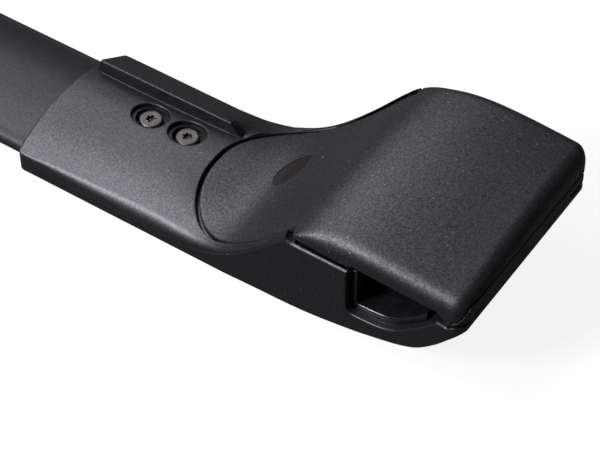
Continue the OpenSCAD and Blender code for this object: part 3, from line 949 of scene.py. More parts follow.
@dataclass
class Foot:
    """One foot, with every piece built in the foot's own frame and in millimetres."""

    form: FootForm = field(default_factory=FootForm)
    cover_t: float = 2.4
    hinge_in: float = 3.0
    hinge_z: float = 41.6
    knuckle_r: float = 2.9
    pin_d: float = 3.0
    lug_y: float = 8.4
    lug_l: float = 7.0
    lug_r: float = 2.0
    gap: float = 0.4
    pin_play: float = 0.05
    channel_z: float = 15.7
    pad_t: float = 3.0
    pad_inset: float = 4.0
    bar_w: float = 64.0
    bar_t: float = 16.4
    bar_edge: float = 4.2
    bar_wall: float = 2.0
    bar_lift: float = 2.2
    bar_play: float = 0.3
    bar_y: float = 36.1
    rib: float = 6.0
    chamber: float = 14.0
    screw_in: float = 11.2
    screw_pitch: float = 19.8
    screw_y: float = 44.0
    screw_d: float = 6.0
    recess_w: float = 15.4
    spot_d: float = 14.0
    jaw_z: float = 43.6
    jaw_t: float = 3.0
    jaw_w: float = 60.0
    leg: float = 17.0
    bolt_in: float = 12.7
    slide_play: float = 0.3
    nut_z: float = 9.0
    line_z: tuple[tuple[float, float], ...] = (
        (-3, 39), (0, 39.2), (0.5, 40), (2, 43.2), (4, 46.2), (6, 47.9), (9, 48.4), (20, 48.6), (40, 48.1), (60, 47.9),
        (80, 47.4), (92, 47), (94.8, 46.3), (96.8, 45), (98.8, 42.4), (100.3, 39.8), (100.8, 39.2), (104, 39))
    notch_at: tuple[float, float] = (113.0, 49.0)
    notch_l: float = 11.6
    notch_w: float = 4.7
    notch_turn: float = math.radians(-11)
    notch_depth: float = 0.35

    def __post_init__(self) -> None:
        """Works out the places that follow from the sizes."""
        self.tongue = Tongue(self.form)
        self.hinge_x = self.form.length - self.hinge_in
        self.bar_z = self.bar_lift + self.bar_t * 0.28
        self.bar_top = self.bar_lift + self.bar_t
        self.rib_z = self.bar_top - self.rib
        self.seat_z = self.rib_z + 2.4
        self.screw_x = self.form.bar_end - self.screw_in - self.screw_pitch
        self.spigot_z = self.bar_lift + self.bar_wall + 3.4
        self.bolt_x = self.form.channel - self.bolt_in
        self.leg_x = self.bolt_x - 9
        self.toe_x = self.form.channel_end - 4
        self.lug_far = self.form.width - self.lug_y - self.lug_l

    def hinge_rod(self, name: str, radius: float, a: float, b: float, edge: float = 0.0) -> bpy.types.Object:
        """A round bar along the hinge."""
        return rod(name, radius, a, b, (self.hinge_x, 0, self.hinge_z), Axis.Y, edge)

    def lip_height(self, x: float) -> float:
        """Height of the side walls' lip, under the cover."""
        if x <= self.form.ear:
            return SKY
        lip, hinge = self.form.lip, self.hinge_x
        ear = self.form.ear
        return float(np.interp(
            x,
            [ear, ear + 0.6, ear + 1.4, ear + 2.6, ear + 4.1, hinge - 18, hinge - 12, hinge - 4.8, hinge - 4, hinge - 2.6,
             hinge - 1.4, hinge, hinge + 2.2],
            [lip + 3.2, lip + 2.1, lip + 1.1, lip + 0.45, lip, lip, lip - 2.9, lip - 4.1, lip - 3.6, lip - 2.5,
             lip - 2.2, lip - 2.4, lip - 1.7]))

    def skirt_height(self, x: float) -> float:
        """Height of the cover's lower edge: along the lip, over the channel and round the hinge."""
        lip, hinge, channel = self.form.lip, self.hinge_x, self.form.channel
        end = self.tongue.end
        return float(np.interp(
            x,
            [70, 115, end, end + 0.02, end + 6, end + 16, channel + 0.8, channel + 2.4, channel + 20.2, hinge - 21,
             hinge - 10, hinge - 7.6, hinge - 6.5, hinge - 6, hinge - 4, hinge - 1.4, hinge + 3, hinge + 9],
            [3, 12, 34, lip + 4.4, lip + 4, lip + 3, lip + 2.6, lip + 3.8, lip + 3, lip + 2.6,
             lip + 2.4, lip + 1, lip - 0.7, lip - 2.8, lip - 2.3, lip - 1.1, lip + 0.4, lip + 0.4]))

    def channel_plan(self, inset: float) -> np.ndarray:
        """Side view of the rail channel, set in by some thickness and left open at the top."""
        end, start, floor = self.form.channel_end, self.form.channel, self.channel_z
        bend = Track([(0, 0), (14.3, 0.5), (20.3, 2), (25.3, 4.6), (35.3, 13.3), (43.3, 22), (44.9, 25.6)])
        turn = np.radians(np.linspace(180, 270, 9))
        corner = np.stack([start + 4 + 4 * np.cos(turn), floor + 4 + 4 * np.sin(turn)], 1)
        slope = np.linspace(6.3, self.form.channel_w, 26)
        run = np.stack([start + slope, floor + bend(slope)], 1)
        outline = np.concatenate([corner, run])
        wall = np.concatenate([[[start, 70.0]], outline, [[end, 70.0]]])
        normal = outline_out(wall)
        inner = wall - normal * inset
        inner[0], inner[-1] = (start + inset, 70.0), (end - inset, 70.0)
        return inner

    def bar_outline(self, grow: float = 0.0, steps: int = 40) -> np.ndarray:
        """Outline of the bar in y and z: two flat arcs and two round edges.

        Args:
            grow: How far it is set out.
            steps: Number of points on each arc.

        Returns:
            The points, turning left.
        """
        half, r = self.bar_w / 2 - self.bar_edge, self.bar_edge + grow
        crown, belly = self.bar_t * 0.72, self.bar_t * 0.28
        u = np.linspace(-1, 1, steps + 1)[1:-1]
        turn = np.radians(np.linspace(-90, 90, 15))
        right = np.stack([half + r * np.cos(turn), r * np.sin(turn)], 1)
        top = np.stack([-half * u, (crown + grow - r) * (1 - u**2) + r], 1)
        bottom = np.stack([half * u, -(belly + grow - r) * (1 - u**2) - r], 1)
        return np.concatenate([bottom, right, top, -right]) + np.array([self.bar_y, self.bar_z])

    def tunnel(self) -> bpy.types.Object:
        """What the bar takes up in the sleeve, with its play."""
        return prism("tunnel", self.bar_outline(self.bar_play), -1, self.form.bar_end + 0.4, Axis.X)

    def fence(self) -> bpy.types.Object:
        """The sleeve's raised fence, with a raked inner end and a ramp at its outer end."""
        start, length, near, far, crest_z, far_z, root = 5.4, 70.5, 55.0, 73.0, 25.0, 14.4, 9.0
        fall = (crest_z - far_z) / (far - near - 1.2)
        end = start + length
        edge = Track([(0, far_z), (end - 8, far_z), (end, 14.4), (end + 4, 14.1), (end + 8, 13.75), (end + 12, 13.6),
                      (end + 16, 13.5), (end + 20, 13.55), (end + 24, 13.6)])
        rings = []
        for x, wall, slope, shift in (
                (start - 1.4, 0.3, 0.3, 3.0), (start - 1.0, 0.62, 0.6, 2.0), (start - 0.5, 0.88, 0.86, 1.1),
                (start, 1, 1, 0.5), (start + 1.5, 1, 1, 0.1), (start + 3, 1, 1, 0), (end - 8, 1, 1, 0), (end, 1, 0.93, 0),
                (end + 2, 0.66, 0.8, 0), (end + 4, 0.33, 0.64, 0), (end + 6, 0, 0.5, 0), (end + 9, 0, 0.34, 0),
                (end + 13, 0, 0.22, 0), (end + 18, 0, 0.11, 0), (end + 24, 0, 0, 0)):
            profile = [(near, -0.5), (near + 0.05, -0.25), (near + 0.2, -0.06), (near + 0.45, 0.0), (near + 1.2, -0.12)]
            reach = max(far - shift, float(self.form.far_plan(x)) - 1.2 if x > start + 20 else 0.0)
            profile += [(y, max(-fall * (y - near - 1.2), far_z - crest_z)) for y in np.linspace(near + 1.9, reach, 9)]
            points = [(near, root), (reach, root)]
            for y, drop in profile[::-1]:
                skin = float(self.form.top(x, y)) - 0.25
                share = wall + (slope - wall) * float(np.clip((y - near - 1) / 7, 0, 1))
                points.append((y, skin + (crest_z + drop - skin) * share))
            points = np.array(points)
            if x > start + 20:
                points[2:, 1] += (float(edge(x)) - points[2, 1]) * ((points[2:, 0] - near) / (reach - near)) ** 2
            rings.append(stand(points, x, Axis.X))
        wall = loft("fence", rings)
        ledge = [stand(np.array([(near - 0.7, root), (near + 0.5, root), (near + 0.5, z + 0.2), (near - 0.25, z + 0.2),
                                 (near - 0.55, z + 0.08), (near - 0.7, z - 0.15)]), x, Axis.X)
                 for x, z in ((x, float(self.form.top(x, near))) for x in np.linspace(start, end, 24))]
        wall = work(wall, Cut.ADD, loft("ledge", ledge))
        groove = self.form.lipped("fence_groove", self.tongue.groove_plan(), 5.0, 0.55, True)
        return work(wall, Cut.TAKE, self.tunnel(), groove)

    def screw_recess(self, x: float) -> bpy.types.Object:
        """Slotted recess for one fixing screw, with a rounded rim."""
        slide, r = 2.4, self.recess_w / 2
        turn = np.radians(np.linspace(-90, 90, 18))
        right = np.stack([slide / 2 + r * np.cos(turn), r * np.sin(turn)], 1)
        outline = np.concatenate([right, -right]) + np.array([x, self.screw_y])
        return self.form.lipped("recess", outline, self.bar_top - 2, 0.45, True)

    def casting(self) -> bpy.types.Object:
        """The casting: sleeve, ramp, head with the rail channel and hook, and the hinge lugs."""
        form = self.form
        hinge = self.hinge_x
        extra = [form.ear + step for step in (0, 0.01, 0.3, 0.6, 1, 1.4, 2, 2.6, 3.3, 4.1)]
        extra += [hinge - step for step in (12, 9, 7.5, 6, 4.6, 2)]
        body = form.body("casting", 0, form.length - 0.8, roof=self.lip_height, extra=extra, rim=1.0)
        horn = form.body("horn", form.ear - 2, self.tongue.far_end - 0.4, rim=1.0)
        horn = work(horn, Cut.KEEP, box("horn_reach", (form.ear - 4, form.width - 6, 20), (20, 8, 60)))
        body = work(body, Cut.ADD, horn)
        seat = form.lipped("seat", self.tongue.groove_plan(), 5.0, 0.55, True)
        under_seat = form.body("under_seat", form.bar_end, form.head + 1, inset=self.cover_t + self.tongue.seat_gap)
        seat = work(seat, Cut.TAKE, under_seat)
        body = work(body, Cut.TAKE, seat, self.tunnel(), self.hinge_rod("hinge_room", self.knuckle_r + self.gap, 2.4, form.width - 2.4),
                    *self.under_cores(), *self.lip_grooves())
        far_lug = self.lug_far
        lugs = [self.hinge_rod(f"lug_{y:.0f}", self.lug_r, y, y + self.lug_l, 0.3) for y in (self.lug_y, far_lug)]
        feet = [box("lug_foot", (hinge - 2.6, y, self.hinge_z - 4.8), (3.2, self.lug_l, 4)) for y in (self.lug_y, far_lug)]
        w = self.chamber - 2 * self.bar_play
        spigot = box("spigot", (10, self.screw_y - w / 2, self.spigot_z),
                     (form.bar_end, w, self.rib_z - self.bar_play - self.spigot_z), 0.3)
        body = work(body, Cut.ADD, self.fence(), spigot, *lugs, *feet)
        channel = prism("channel", self.channel_plan(0), 0.0, form.width, Axis.Y, flare=0.6)
        bores = []
        for k in range(2):
            x = self.screw_x + k * self.screw_pitch
            bores.append(self.screw_recess(x))
            bores.append(rod("bore", self.screw_d / 2 + 0.3, self.spigot_z - 1, self.spigot_z + 9, (x, self.screw_y, 0)))
        pin = self.hinge_rod("pin_bore", self.pin_d / 2 + 0.01, self.lug_y + 1.4, far_lug + self.lug_l - 1.4)
        body = work(body, Cut.TAKE, channel, *bores, *self.clamp_pocket(), pin)
        self.mark_fence(body.data)
        return body

    def lip_grooves(self) -> list[bpy.types.Object]:
        """Grooves behind the lips, and the hollow under the rim, which keep the gaps round the cover dark."""
        form, start, wide = self.form, 145.4, 2.1
        low, size = form.lip - 4.5, (form.channel - 0.9 - start, wide, 10)
        grooves = [box("lip_groove", (start, y, low), size) for y in (form.lip_r, form.width - form.lip_r - wide)]
        rings = []
        for x in np.linspace(113, self.tongue.far_end - 1.4, 20):
            out = float(form.far_plan(x))
            wall = out - self.tongue.near_in + self.tongue.hairline + float(self.tongue.widening(x))
            crest = float(form.top(x, wall)) + float(form.rim_rise(x))
            profile = [(wall - 0.6, crest - 6), (out - 0.9, crest - 6), (out - 0.9, crest - 1.6), (wall - 0.6, crest - 0.45)]
            rings.append(stand(np.array(profile), x, Axis.X))
        return [*grooves, loft("rim_hollow", rings)]

    def under_cores(self) -> list[bpy.types.Object]:
        """Hollows that the mould leaves in the underside of the foot."""
        form, rim, pitch, length, roof = self.form, 8.0, 14.0, 11.5, self.cover_t + 4
        cores = []
        for i in range(4):
            for y, width in ((rim, 24.0), (36.0, 26.0), (66.0, 13.0)):
                if i > 1 or y < form.mid_y:
                    x = form.bar_end + pitch * (i + 1)
                    corners = [float(form.top(x + dx, y + dy)) for dx in (0, length) for dy in (0, width)]
                    cores.append(box(f"core_{i}_{y:.0f}", (x, y, -1), (length, width, min(corners) - roof + 1), 0.8))
        deep_l, deep_w = 17.0, 19.0
        for y in (rim, form.width - rim - deep_w):
            cores.append(box(f"deep_{y:.0f}", (form.channel - 5 - deep_l, y, -1), (deep_l, deep_w, form.lip - 1.4), 0.8))
        return cores

    def clamp_pocket(self) -> list[bpy.types.Object]:
        """Tools for the leg's pocket, the bolt's hole and the nut's slot."""
        play, nut = self.slide_play, 10.2
        leg_y = self.form.mid_y - 14
        pocket = box("pocket", (self.leg_x - play, leg_y - play, self.jaw_z - self.leg - 4.6),
                     (18 + 2 * play, 28 + 2 * play, 60), 0.5)
        hole = rod("bolt_hole", 3.4, self.nut_z, self.nut_z + 40, (self.bolt_x, self.form.mid_y, 0))
        slot = box("nut_slot", (self.bolt_x - nut / 2, self.form.mid_y - nut / 2, -2), (nut, nut, self.nut_z + 7.1))
        return [pocket, hole, slot]

    def cover(self) -> bpy.types.Object:
        """The cover: lid and tongue in one shell, with the rolled edge that turns on the pin."""
        form, hinge, channel = self.form, self.hinge_x, self.form.channel
        extra = [self.tongue.end, self.tongue.end + 0.02, channel + 0.8, channel + 1.2, channel + 1.6, channel + 2,
                 channel + 2.4, hinge - 10, hinge - 7.6, hinge - 7, hinge - 6.5, hinge - 6, hinge - 4, hinge - 1.4]
        shell = form.body("cover", form.bar_end, form.length, floor=self.skirt_height, extra=extra)
        shell = work(shell, Cut.KEEP, form.lipped("cover_plan", self.tongue.cover_plan(), 0.0, 0.7, False))
        cavity = form.body("cavity", form.bar_end, form.length - self.cover_t, inset=self.cover_t)
        shell = work(shell, Cut.TAKE, cavity)
        shell = work(shell, Cut.ADD, self.rolled_edge())
        tools = []
        for y in (self.lug_y, self.lug_far):
            low, wide = y - self.gap, self.lug_l + 2 * self.gap
            tools.append(self.hinge_rod(f"lug_room_{y:.0f}", self.lug_r + 0.3, low, low + wide))
            for reach, rise in ((2.2, 2.3), (6, 0.9)):
                tools.append(box(f"lug_space_{y:.0f}", (hinge - 8, low, self.hinge_z - 8), (8 + reach, wide, 8 + rise)))
        tools.append(self.hinge_rod("pin_room", self.pin_d / 2 + self.pin_play, self.lug_y, self.lug_far + self.lug_l))
        tools += [self.finger_notch(), self.end_line()]
        shell = work(shell, Cut.TAKE, *tools)
        self.mark_notch(shell.data)
        return shell

    def mark_fence(self, mesh: bpy.types.Mesh) -> None:
        """Marks the fence's upright wall for painted shade, which takes its sheen down so that it renders dark.

        Args:
            mesh: The casting's mesh.
        """
        centre = np.array([tuple(p.center) for p in mesh.polygons])
        upright = np.array([p.normal.y < -0.6 or p.normal.x > 0.5 for p in mesh.polygons])
        inside = upright & (centre[:, 0] < 90) & (np.abs(centre[:, 1] - 56) < 6)
        inside &= centre[:, 2] > self.form.top(centre[:, 0], centre[:, 1]) + 0.25
        # Painted shade mask on the fence wall, read by the finish to take the sheen off these faces
        mark = mesh.attributes.new("painted_shade", "FLOAT", "FACE")
        mark.data.foreach_set("value", inside.astype(np.float32))

    def end_line(self) -> bpy.types.Object:
        """Fine groove round the outer end of the cover, which rises from its lower corners and parts off the hinge."""
        form, depth = self.form, 1.6
        start, r = form.length - 6, form.corner_r - depth
        turn = np.radians(np.linspace(-90, 0, 8))
        near = np.stack([form.length - form.corner_r + r * np.cos(turn), form.corner_r + r * np.sin(turn)], 1)
        far = np.stack([near[::-1, 0], form.width - near[::-1, 1]], 1)
        core = np.concatenate([[[start - 4, depth]], near, far, [[start - 4, form.width - depth]]])
        line = np.array(self.line_z)
        wide = 1.1 + np.clip(np.abs(line[:, 0] - form.mid_y) - 43, 0, 8) * 0.15
        slit = np.concatenate([line, np.stack([line[:, 0], line[:, 1] + wide], 1)[::-1]])
        ring = prism("end_line", slit, start, form.length + 3, Axis.X)
        return work(ring, Cut.TAKE, prism("end_core", core, 30, 60, Axis.Z))

    def rolled_edge(self) -> bpy.types.Object:
        """The rolled edge of the cover, drawn in at the corners of the head."""
        near, taper, end_r = self.form.corner_r + 0.7, 4.4, 1.4
        far = self.form.width - near
        turn = np.radians(np.linspace(0, 90, 7))
        start = [(end_r + (self.knuckle_r - end_r) * math.sin(a), near - taper * math.cos(a)) for a in turn]
        end = [(r, 2 * self.form.mid_y - y) for r, y in start[::-1]]
        return turned("rolled_edge", start + [(self.knuckle_r, far)] + end[1:], (self.hinge_x, 0, self.hinge_z), Axis.Y)

    def notch_outline(self) -> np.ndarray:
        """Plan of the notch: a lens, fuller at its near end."""
        t = np.linspace(-1, 1, 34)
        half = self.notch_w * np.maximum(1 - t**2, 0) ** 0.68 * (1 - 0.2 * t)
        right = np.stack([half, t * self.notch_l], 1)[1:-1]
        tips = np.array([[0.0, -self.notch_l], [0.0, self.notch_l]])
        lens = np.concatenate([tips[:1], right, tips[1:], (right * [-1, 1])[::-1]])
        turn = self.notch_turn
        spin = np.array([[math.cos(turn), math.sin(turn)], [-math.sin(turn), math.cos(turn)]])
        return lens @ spin + np.array(self.notch_at)

    def finger_notch(self) -> bpy.types.Object:
        """Lens shaped notch in the valley of the tongue."""
        tool = self.form.lipped("notch", self.notch_outline(), 14.0, 0.08, True)
        return work(tool, Cut.TAKE, self.form.body("notch_floor", 95, 130, inset=self.notch_depth))

    def mark_notch(self, mesh: bpy.types.Mesh) -> None:
        """Marks the faces of the notch's floor for the finish.

        Args:
            mesh: The cover's mesh.
        """
        centre = np.array([tuple(p.center) for p in mesh.polygons])
        facing = np.array([p.normal.z for p in mesh.polygons])
        offset = centre[:, :2] - np.array(self.notch_at)
        depth = self.form.top(centre[:, 0], centre[:, 1]) - centre[:, 2]
        inside = (np.linalg.norm(offset, axis=1) < self.notch_l) & (facing > 0.3)
        inside &= (depth > self.notch_depth * 0.5) & (depth < self.notch_depth * 1.5)
        mark = mesh.attributes.new("notch", "FLOAT", "FACE")
        mark.data.foreach_set("value", inside.astype(np.float32))

    def liner(self) -> bpy.types.Object:
        """The rubber liner of the rail channel."""
        outer, inner = self.channel_plan(0.02), self.channel_plan(self.pad_t)
        near, far = self.pad_inset, self.form.width - self.pad_inset
        pad = prism("liner", outer, near, far, Axis.Y, edge=0.7)
        hollow = prism("liner_hollow", inner, near, far, Axis.Y, flare=0.7)
        pad = work(pad, Cut.TAKE, hollow)
        keep = box("liner_reach", (self.form.channel - 5, -5, 0), (self.form.channel_w - 3.9, 115, self.form.lip - 2))
        return work(pad, Cut.KEEP, keep)

    def jaw(self) -> bpy.types.Object:
        """The clamp's jaw: ribbed plate with a turned down toe, and the leg that guides it."""
        z, t, toe, mid = self.jaw_z, self.jaw_t, self.toe_x, self.form.mid_y
        side = np.array([(self.leg_x, z), (toe - 3, z), (toe - 3, z - 2.4), (toe, z - 2.4), (toe, z + t - 3),
                         (toe - 0.5, z + t - 2), (toe - 1.6, z + t - 1.1), (toe - 3.6, z + t - 0.4),
                         (toe - 6.6, z + t), (self.leg_x, z + t)])
        body = prism("jaw", side, mid - self.jaw_w / 2, mid + self.jaw_w / 2, Axis.Y, edge=0.7)
        leg = box("jaw_leg", (self.leg_x, mid - 14, z - self.leg), (18, 28, self.leg + 1), 0.6)
        ribs = [box(f"jaw_rib_{y}", (self.leg_x + 4, mid + y, z + t - 1), (toe - self.leg_x - 16.6, 3, 2.4), 0.7)
                for y in (-22, 19)]
        body = work(body, Cut.ADD, leg, *ribs)
        at = (self.bolt_x, mid, 0)
        return work(body, Cut.TAKE, rod("jaw_bore", 3.4, 0, 90, at), rod("jaw_seat", 6.8, z + t - 2.4, 90, at),
                    rod("ring_room", 5.5, z - self.leg - 1, z - self.leg + 2.2, at))

    def jaw_pad(self) -> bpy.types.Object:
        """The jaw's rubber pad, a block with rounded edges."""
        start, mid = self.form.channel + 4.6, self.form.mid_y
        return box("jaw_pad", (start, mid - self.jaw_w / 2 + 1, self.jaw_z - self.pad_t),
                   (self.toe_x - 3.2 - start, self.jaw_w - 2, self.pad_t), 0.6)

    def bolt(self) -> bpy.types.Object:
        """The clamp bolt: domed head with a hexagon socket, and a plain shank with a groove for the retaining ring."""
        head = self.jaw_z + self.jaw_t - 1.4
        start = self.nut_z - 4
        profile = [(2.2, start), (3.0, start + 0.9), (3.0, head - 0.4), (3.3, head), (5.7, head), (6.0, head + 0.25),
                   (6.0, head + 1.0), (5.5, head + 1.9), (4.6, head + 2.75), (3.4, head + 3.3), (3.0, head + 3.4)]
        body = turned("bolt", profile, (self.bolt_x, self.form.mid_y, 0))
        hexagon = rod("socket", 2.6, head + 1, head + 11, (self.bolt_x, self.form.mid_y, 0), steps=6)
        ring_z = self.jaw_z - self.leg + 2.2 - 0.9
        groove = turned("ring_groove", [(2.5, ring_z), (2.5, ring_z + 0.84)], (self.bolt_x, self.form.mid_y, 0))
        sleeve = rod("groove_out", 6.0, ring_z, ring_z + 0.84, (self.bolt_x, self.form.mid_y, 0))
        return work(body, Cut.TAKE, hexagon, work(sleeve, Cut.TAKE, groove))

    def washer(self) -> bpy.types.Object:
        """The washer under the bolt's head."""
        z = self.jaw_z + self.jaw_t - 2.4
        return self.flat_ring("washer", 3.2, 6.4, z, 1.0, 0.15)

    def ring(self) -> bpy.types.Object:
        """The retaining ring in the bolt's groove."""
        return self.flat_ring("ring", 2.52, 5.0, self.jaw_z - self.leg + 2.2 - 0.88, 0.8, 0.1)

    def flat_ring(self, name: str, inner: float, outer: float, z: float, height: float, edge: float) -> bpy.types.Object:
        """A flat ring on the bolt's axis, with rounded edges."""
        at = (self.bolt_x, self.form.mid_y, 0)
        disc = rod(name, outer, z, z + height, at, edge=edge)
        return work(disc, Cut.TAKE, rod(name + "_bore", inner, z - 1, z + height + 1, at))

    def nut(self) -> bpy.types.Object:
        """The square nut that the clamp bolt screws into."""
        at = (self.bolt_x, self.form.mid_y, 0)
        block = box("nut", (self.bolt_x - 5, self.form.mid_y - 5, self.nut_z), (10, 10, 5), 0.35)
        return work(block, Cut.TAKE, rod("nut_bore", 3.06, 0, 60, at))

    def pin(self) -> bpy.types.Object:
        """The hinge pin."""
        return self.hinge_rod("pin", self.pin_d / 2, self.lug_y + 1.5, self.lug_far + self.lug_l - 1.5, 0.4)

    def nut_plate(self) -> bpy.types.Object:
        """The threaded plate under the two fixing screws."""
        low = (self.screw_x - 9, self.screw_y - self.chamber / 2 + 0.8, self.spigot_z - 3)
        plate = box("nut_plate", low, (self.screw_pitch + 18, self.chamber - 1.6, 3), 0.3)
        holes = [rod(f"tapped_{k}", 3.03, 0, 40, (self.screw_x + k * self.screw_pitch, self.screw_y, 0)) for k in (0, 1)]
        return work(plate, Cut.TAKE, *holes)

    def screw(self) -> bpy.types.Object:
        """A fixing screw at the origin of its head's seat: round head with a six lobed socket."""
        r, h = 5.5, 2.8
        shank = self.spigot_z - 3 - self.seat_z
        profile = [(2.4, shank), (3.0, shank + 0.7), (3.0, -0.3), (3.2, 0), (r - 0.25, 0), (r, 0.25), (r, h - 0.8),
                   (r - 0.5, h - 0.1), (r - 0.7, h), (r - 1.5, h), (r - 1.55, h - 0.04)]
        body = turned("screw", profile, (0, 0, 0), steps=72)
        a = np.linspace(0, 2 * np.pi, 120, endpoint=False)
        lobes = 1.95 + 0.36 * np.cos(6 * a)
        star = np.stack([lobes * np.cos(a), lobes * np.sin(a)], 1)
        socket = loft("star", [stand(star * s, z, Axis.Z) for s, z in
                               ((0.55, h - 2.1), (0.92, h - 1.8), (1.0, h - 1.7), (1.0, h - 0.25), (1.14, h + 0.02), (1.14, h + 2))])
        return work(body, Cut.TAKE, socket)


# Placing


@dataclass
class Place:
    """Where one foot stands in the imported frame."""

    k: int

    def __post_init__(self) -> None:
        """Reads the place from the frame's box of the foot."""
        low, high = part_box(f"end_support_{self.k}")
        self.turned = self.k % 2 == 0
        self.start = -high.x if self.turned else low.x
        self.side = low.y

    def metres(self, points: np.ndarray) -> np.ndarray:
        """Points of the foot's frame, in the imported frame."""
        moved = points * MM + np.array([self.start, self.side, 0.0])
        if self.turned:
            moved[:, 0] *= -1
        return moved


class Fitter:
    """Puts finished solids where they belong and reports them."""

    def __init__(self) -> None:
        """Builds the materials and reads the places of the feet."""
        self.materials = {key: finish.material() for key, finish in FINISHES.items()}
        self.places = {k: Place(k) for k in FEET}

    def put(self, solid: bpy.types.Object, name: str, k: int, finish: str, body: str, node: str) -> None:
        """Places one copy of a foot's solid.

        Args:
            solid: The solid in millimetres, which stays as it is.
            name: The piece's name.
            k: The foot's number.
            finish: The key of its finish.
            body: The body that it moves with.
            node: The node that it stands for.
        """
        mesh = solid.data.copy()
        mesh.name = name
        points = np.empty(len(mesh.vertices) * 3)
        mesh.vertices.foreach_get("co", points)
        points = self.places[k].metres(points.reshape(-1, 3))
        mesh.vertices.foreach_set("co", points.ravel())
        if self.places[k].turned:
            mesh.flip_normals()
        self.dress(mesh, name, finish, body, node)

    def dress(self, mesh: bpy.types.Mesh, name: str, finish: str, body: str, *nodes: str) -> bpy.types.Object:
        """Gives a placed mesh its finish and ties it to the frame.

        Args:
            mesh: The mesh in metres.
            name: The piece's name.
            finish: The key of its finish.
            body: The body that it moves with.
            nodes: The nodes that it stands for.

        Returns:
            The piece.
        """
        mesh.materials.clear()
        mesh.materials.append(self.materials[finish])
        mesh.polygons.foreach_set("use_smooth", [True] * len(mesh.polygons))
        mesh.set_sharp_from_angle(angle=SMOOTH_ANGLE)
        mesh.update()
        piece = bpy.data.objects.new(name, mesh)
        bpy.context.collection.objects.link(piece)
        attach(piece, body)
        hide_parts(*nodes)
        LOG.info("%s: %d faces, %d open edges", name, len(mesh.polygons), open_edges(mesh))
        return piece

    def everywhere(self, solid: bpy.types.Object, name: str, finish: str, body: str, node: str) -> None:
        """Places a solid at all four feet and removes the first one.

        Args:
            solid: The solid in millimetres.
            name: The pieces' name, to which the foot's number is added.
            finish: The key of its finish.
            body: The body's name, in which {} stands for the foot's number.
            node: The node's name, in which {} stands for the foot's number.
        """
        for k in FEET:
            self.put(solid, f"{name}_{k}", k, finish, body.format(k), node.format(k))
        bpy.data.objects.remove(solid)


# Geometry nodes


class Tree:
    """A geometry node tree with named inputs, which is run once on a piece."""

    def __init__(self, name: str) -> None:
        """Starts a tree that has a geometry input and output."""
        self.group = bpy.data.node_groups.new(name, "GeometryNodeTree")
        self.group.interface.new_socket("Geometry", in_out="INPUT", socket_type="NodeSocketGeometry")
        self.group.interface.new_socket("Geometry", in_out="OUTPUT", socket_type="NodeSocketGeometry")
        self.start = self.group.nodes.new("NodeGroupInput")
        self.ids: dict[str, str] = {}

    def ask(self, name: str, kind: str) -> bpy.types.NodeSocket:
        """Adds a named input.

        Args:
            name: Its name.
            kind: Its socket type.

        Returns:
            The socket inside the tree.
        """
        item = self.group.interface.new_socket(name, in_out="INPUT", socket_type=kind)
        self.ids[name] = item.identifier
        return self.start.outputs[name]

    def node(self, kind: str, settings: dict | None = None, values: dict | None = None) -> bpy.types.Node:
        """Adds a node with its settings, and numbers or links for its inputs."""
        node = self.group.nodes.new(kind)
        for key, value in (settings or {}).items():
            setattr(node, key, value)
        for key, value in (values or {}).items():
            if isinstance(value, bpy.types.NodeSocket):
                self.group.links.new(value, node.inputs[key])
            else:
                node.inputs[key].default_value = value
        return node

    def end(self, geometry: bpy.types.NodeSocket, material: bpy.types.NodeSocket) -> None:
        """Ends the tree in Realize Instances and Set Material."""
        real = self.node("GeometryNodeRealizeInstances", None, {0: geometry})
        painted = self.node("GeometryNodeSetMaterial", None, {"Geometry": real.outputs[0], "Material": material})
        out = self.group.nodes.new("NodeGroupOutput")
        self.group.links.new(painted.outputs[0], out.inputs[0])

    def run(self, seed: bpy.types.Object, values: dict) -> bpy.types.Mesh:
        """Runs the tree on an object.

        Args:
            seed: The object that goes in, which is used up.
            values: The values of the tree's inputs, by name.

        Returns:
            The mesh that comes out.
        """
        step = seed.modifiers.new(self.group.name, "NODES")
        step.node_group = self.group
        for name, value in values.items():
            step[self.ids[name]] = value
        bpy.context.view_layer.update()
        mesh = bpy.data.meshes.new_from_object(seed.evaluated_get(bpy.context.evaluated_depsgraph_get()))
        seed.modifiers.clear()
        bpy.data.objects.remove(seed)
        return mesh


def extrusion_tree() -> Tree:
    """A tree that fills closed loops in the plane across X and runs them along X to a length."""
    tree = Tree("bar_extrusion")
    length = tree.ask("Length", "NodeSocketFloat")
    material = tree.ask("Finish", "NodeSocketMaterial")
    loops = tree.node("GeometryNodeMeshToCurve", None, {"Mesh": tree.start.outputs["Geometry"]})
    laid = tree.node("GeometryNodeFillCurve", None, {"Curve": loops.outputs[0]})
    along = tree.node("ShaderNodeCombineXYZ", None, {"Z": length})
    run = tree.node("GeometryNodeExtrudeMesh", None, {"Mesh": laid.outputs[0], "Offset": along.outputs[0],
                                                      "Offset Scale": 1.0, "Individual": False})
    floor = tree.node("GeometryNodeFlipFaces", None, {"Mesh": laid.outputs[0]})
    both = tree.node("GeometryNodeJoinGeometry")
    tree.group.links.new(run.outputs[0], both.inputs[0])
    tree.group.links.new(floor.outputs[0], both.inputs[0])
    joined = tree.node("GeometryNodeMergeByDistance", None, {"Geometry": both.outputs[0], "Distance": 1e-6})
    tree.end(joined.outputs[0], material)
    return tree


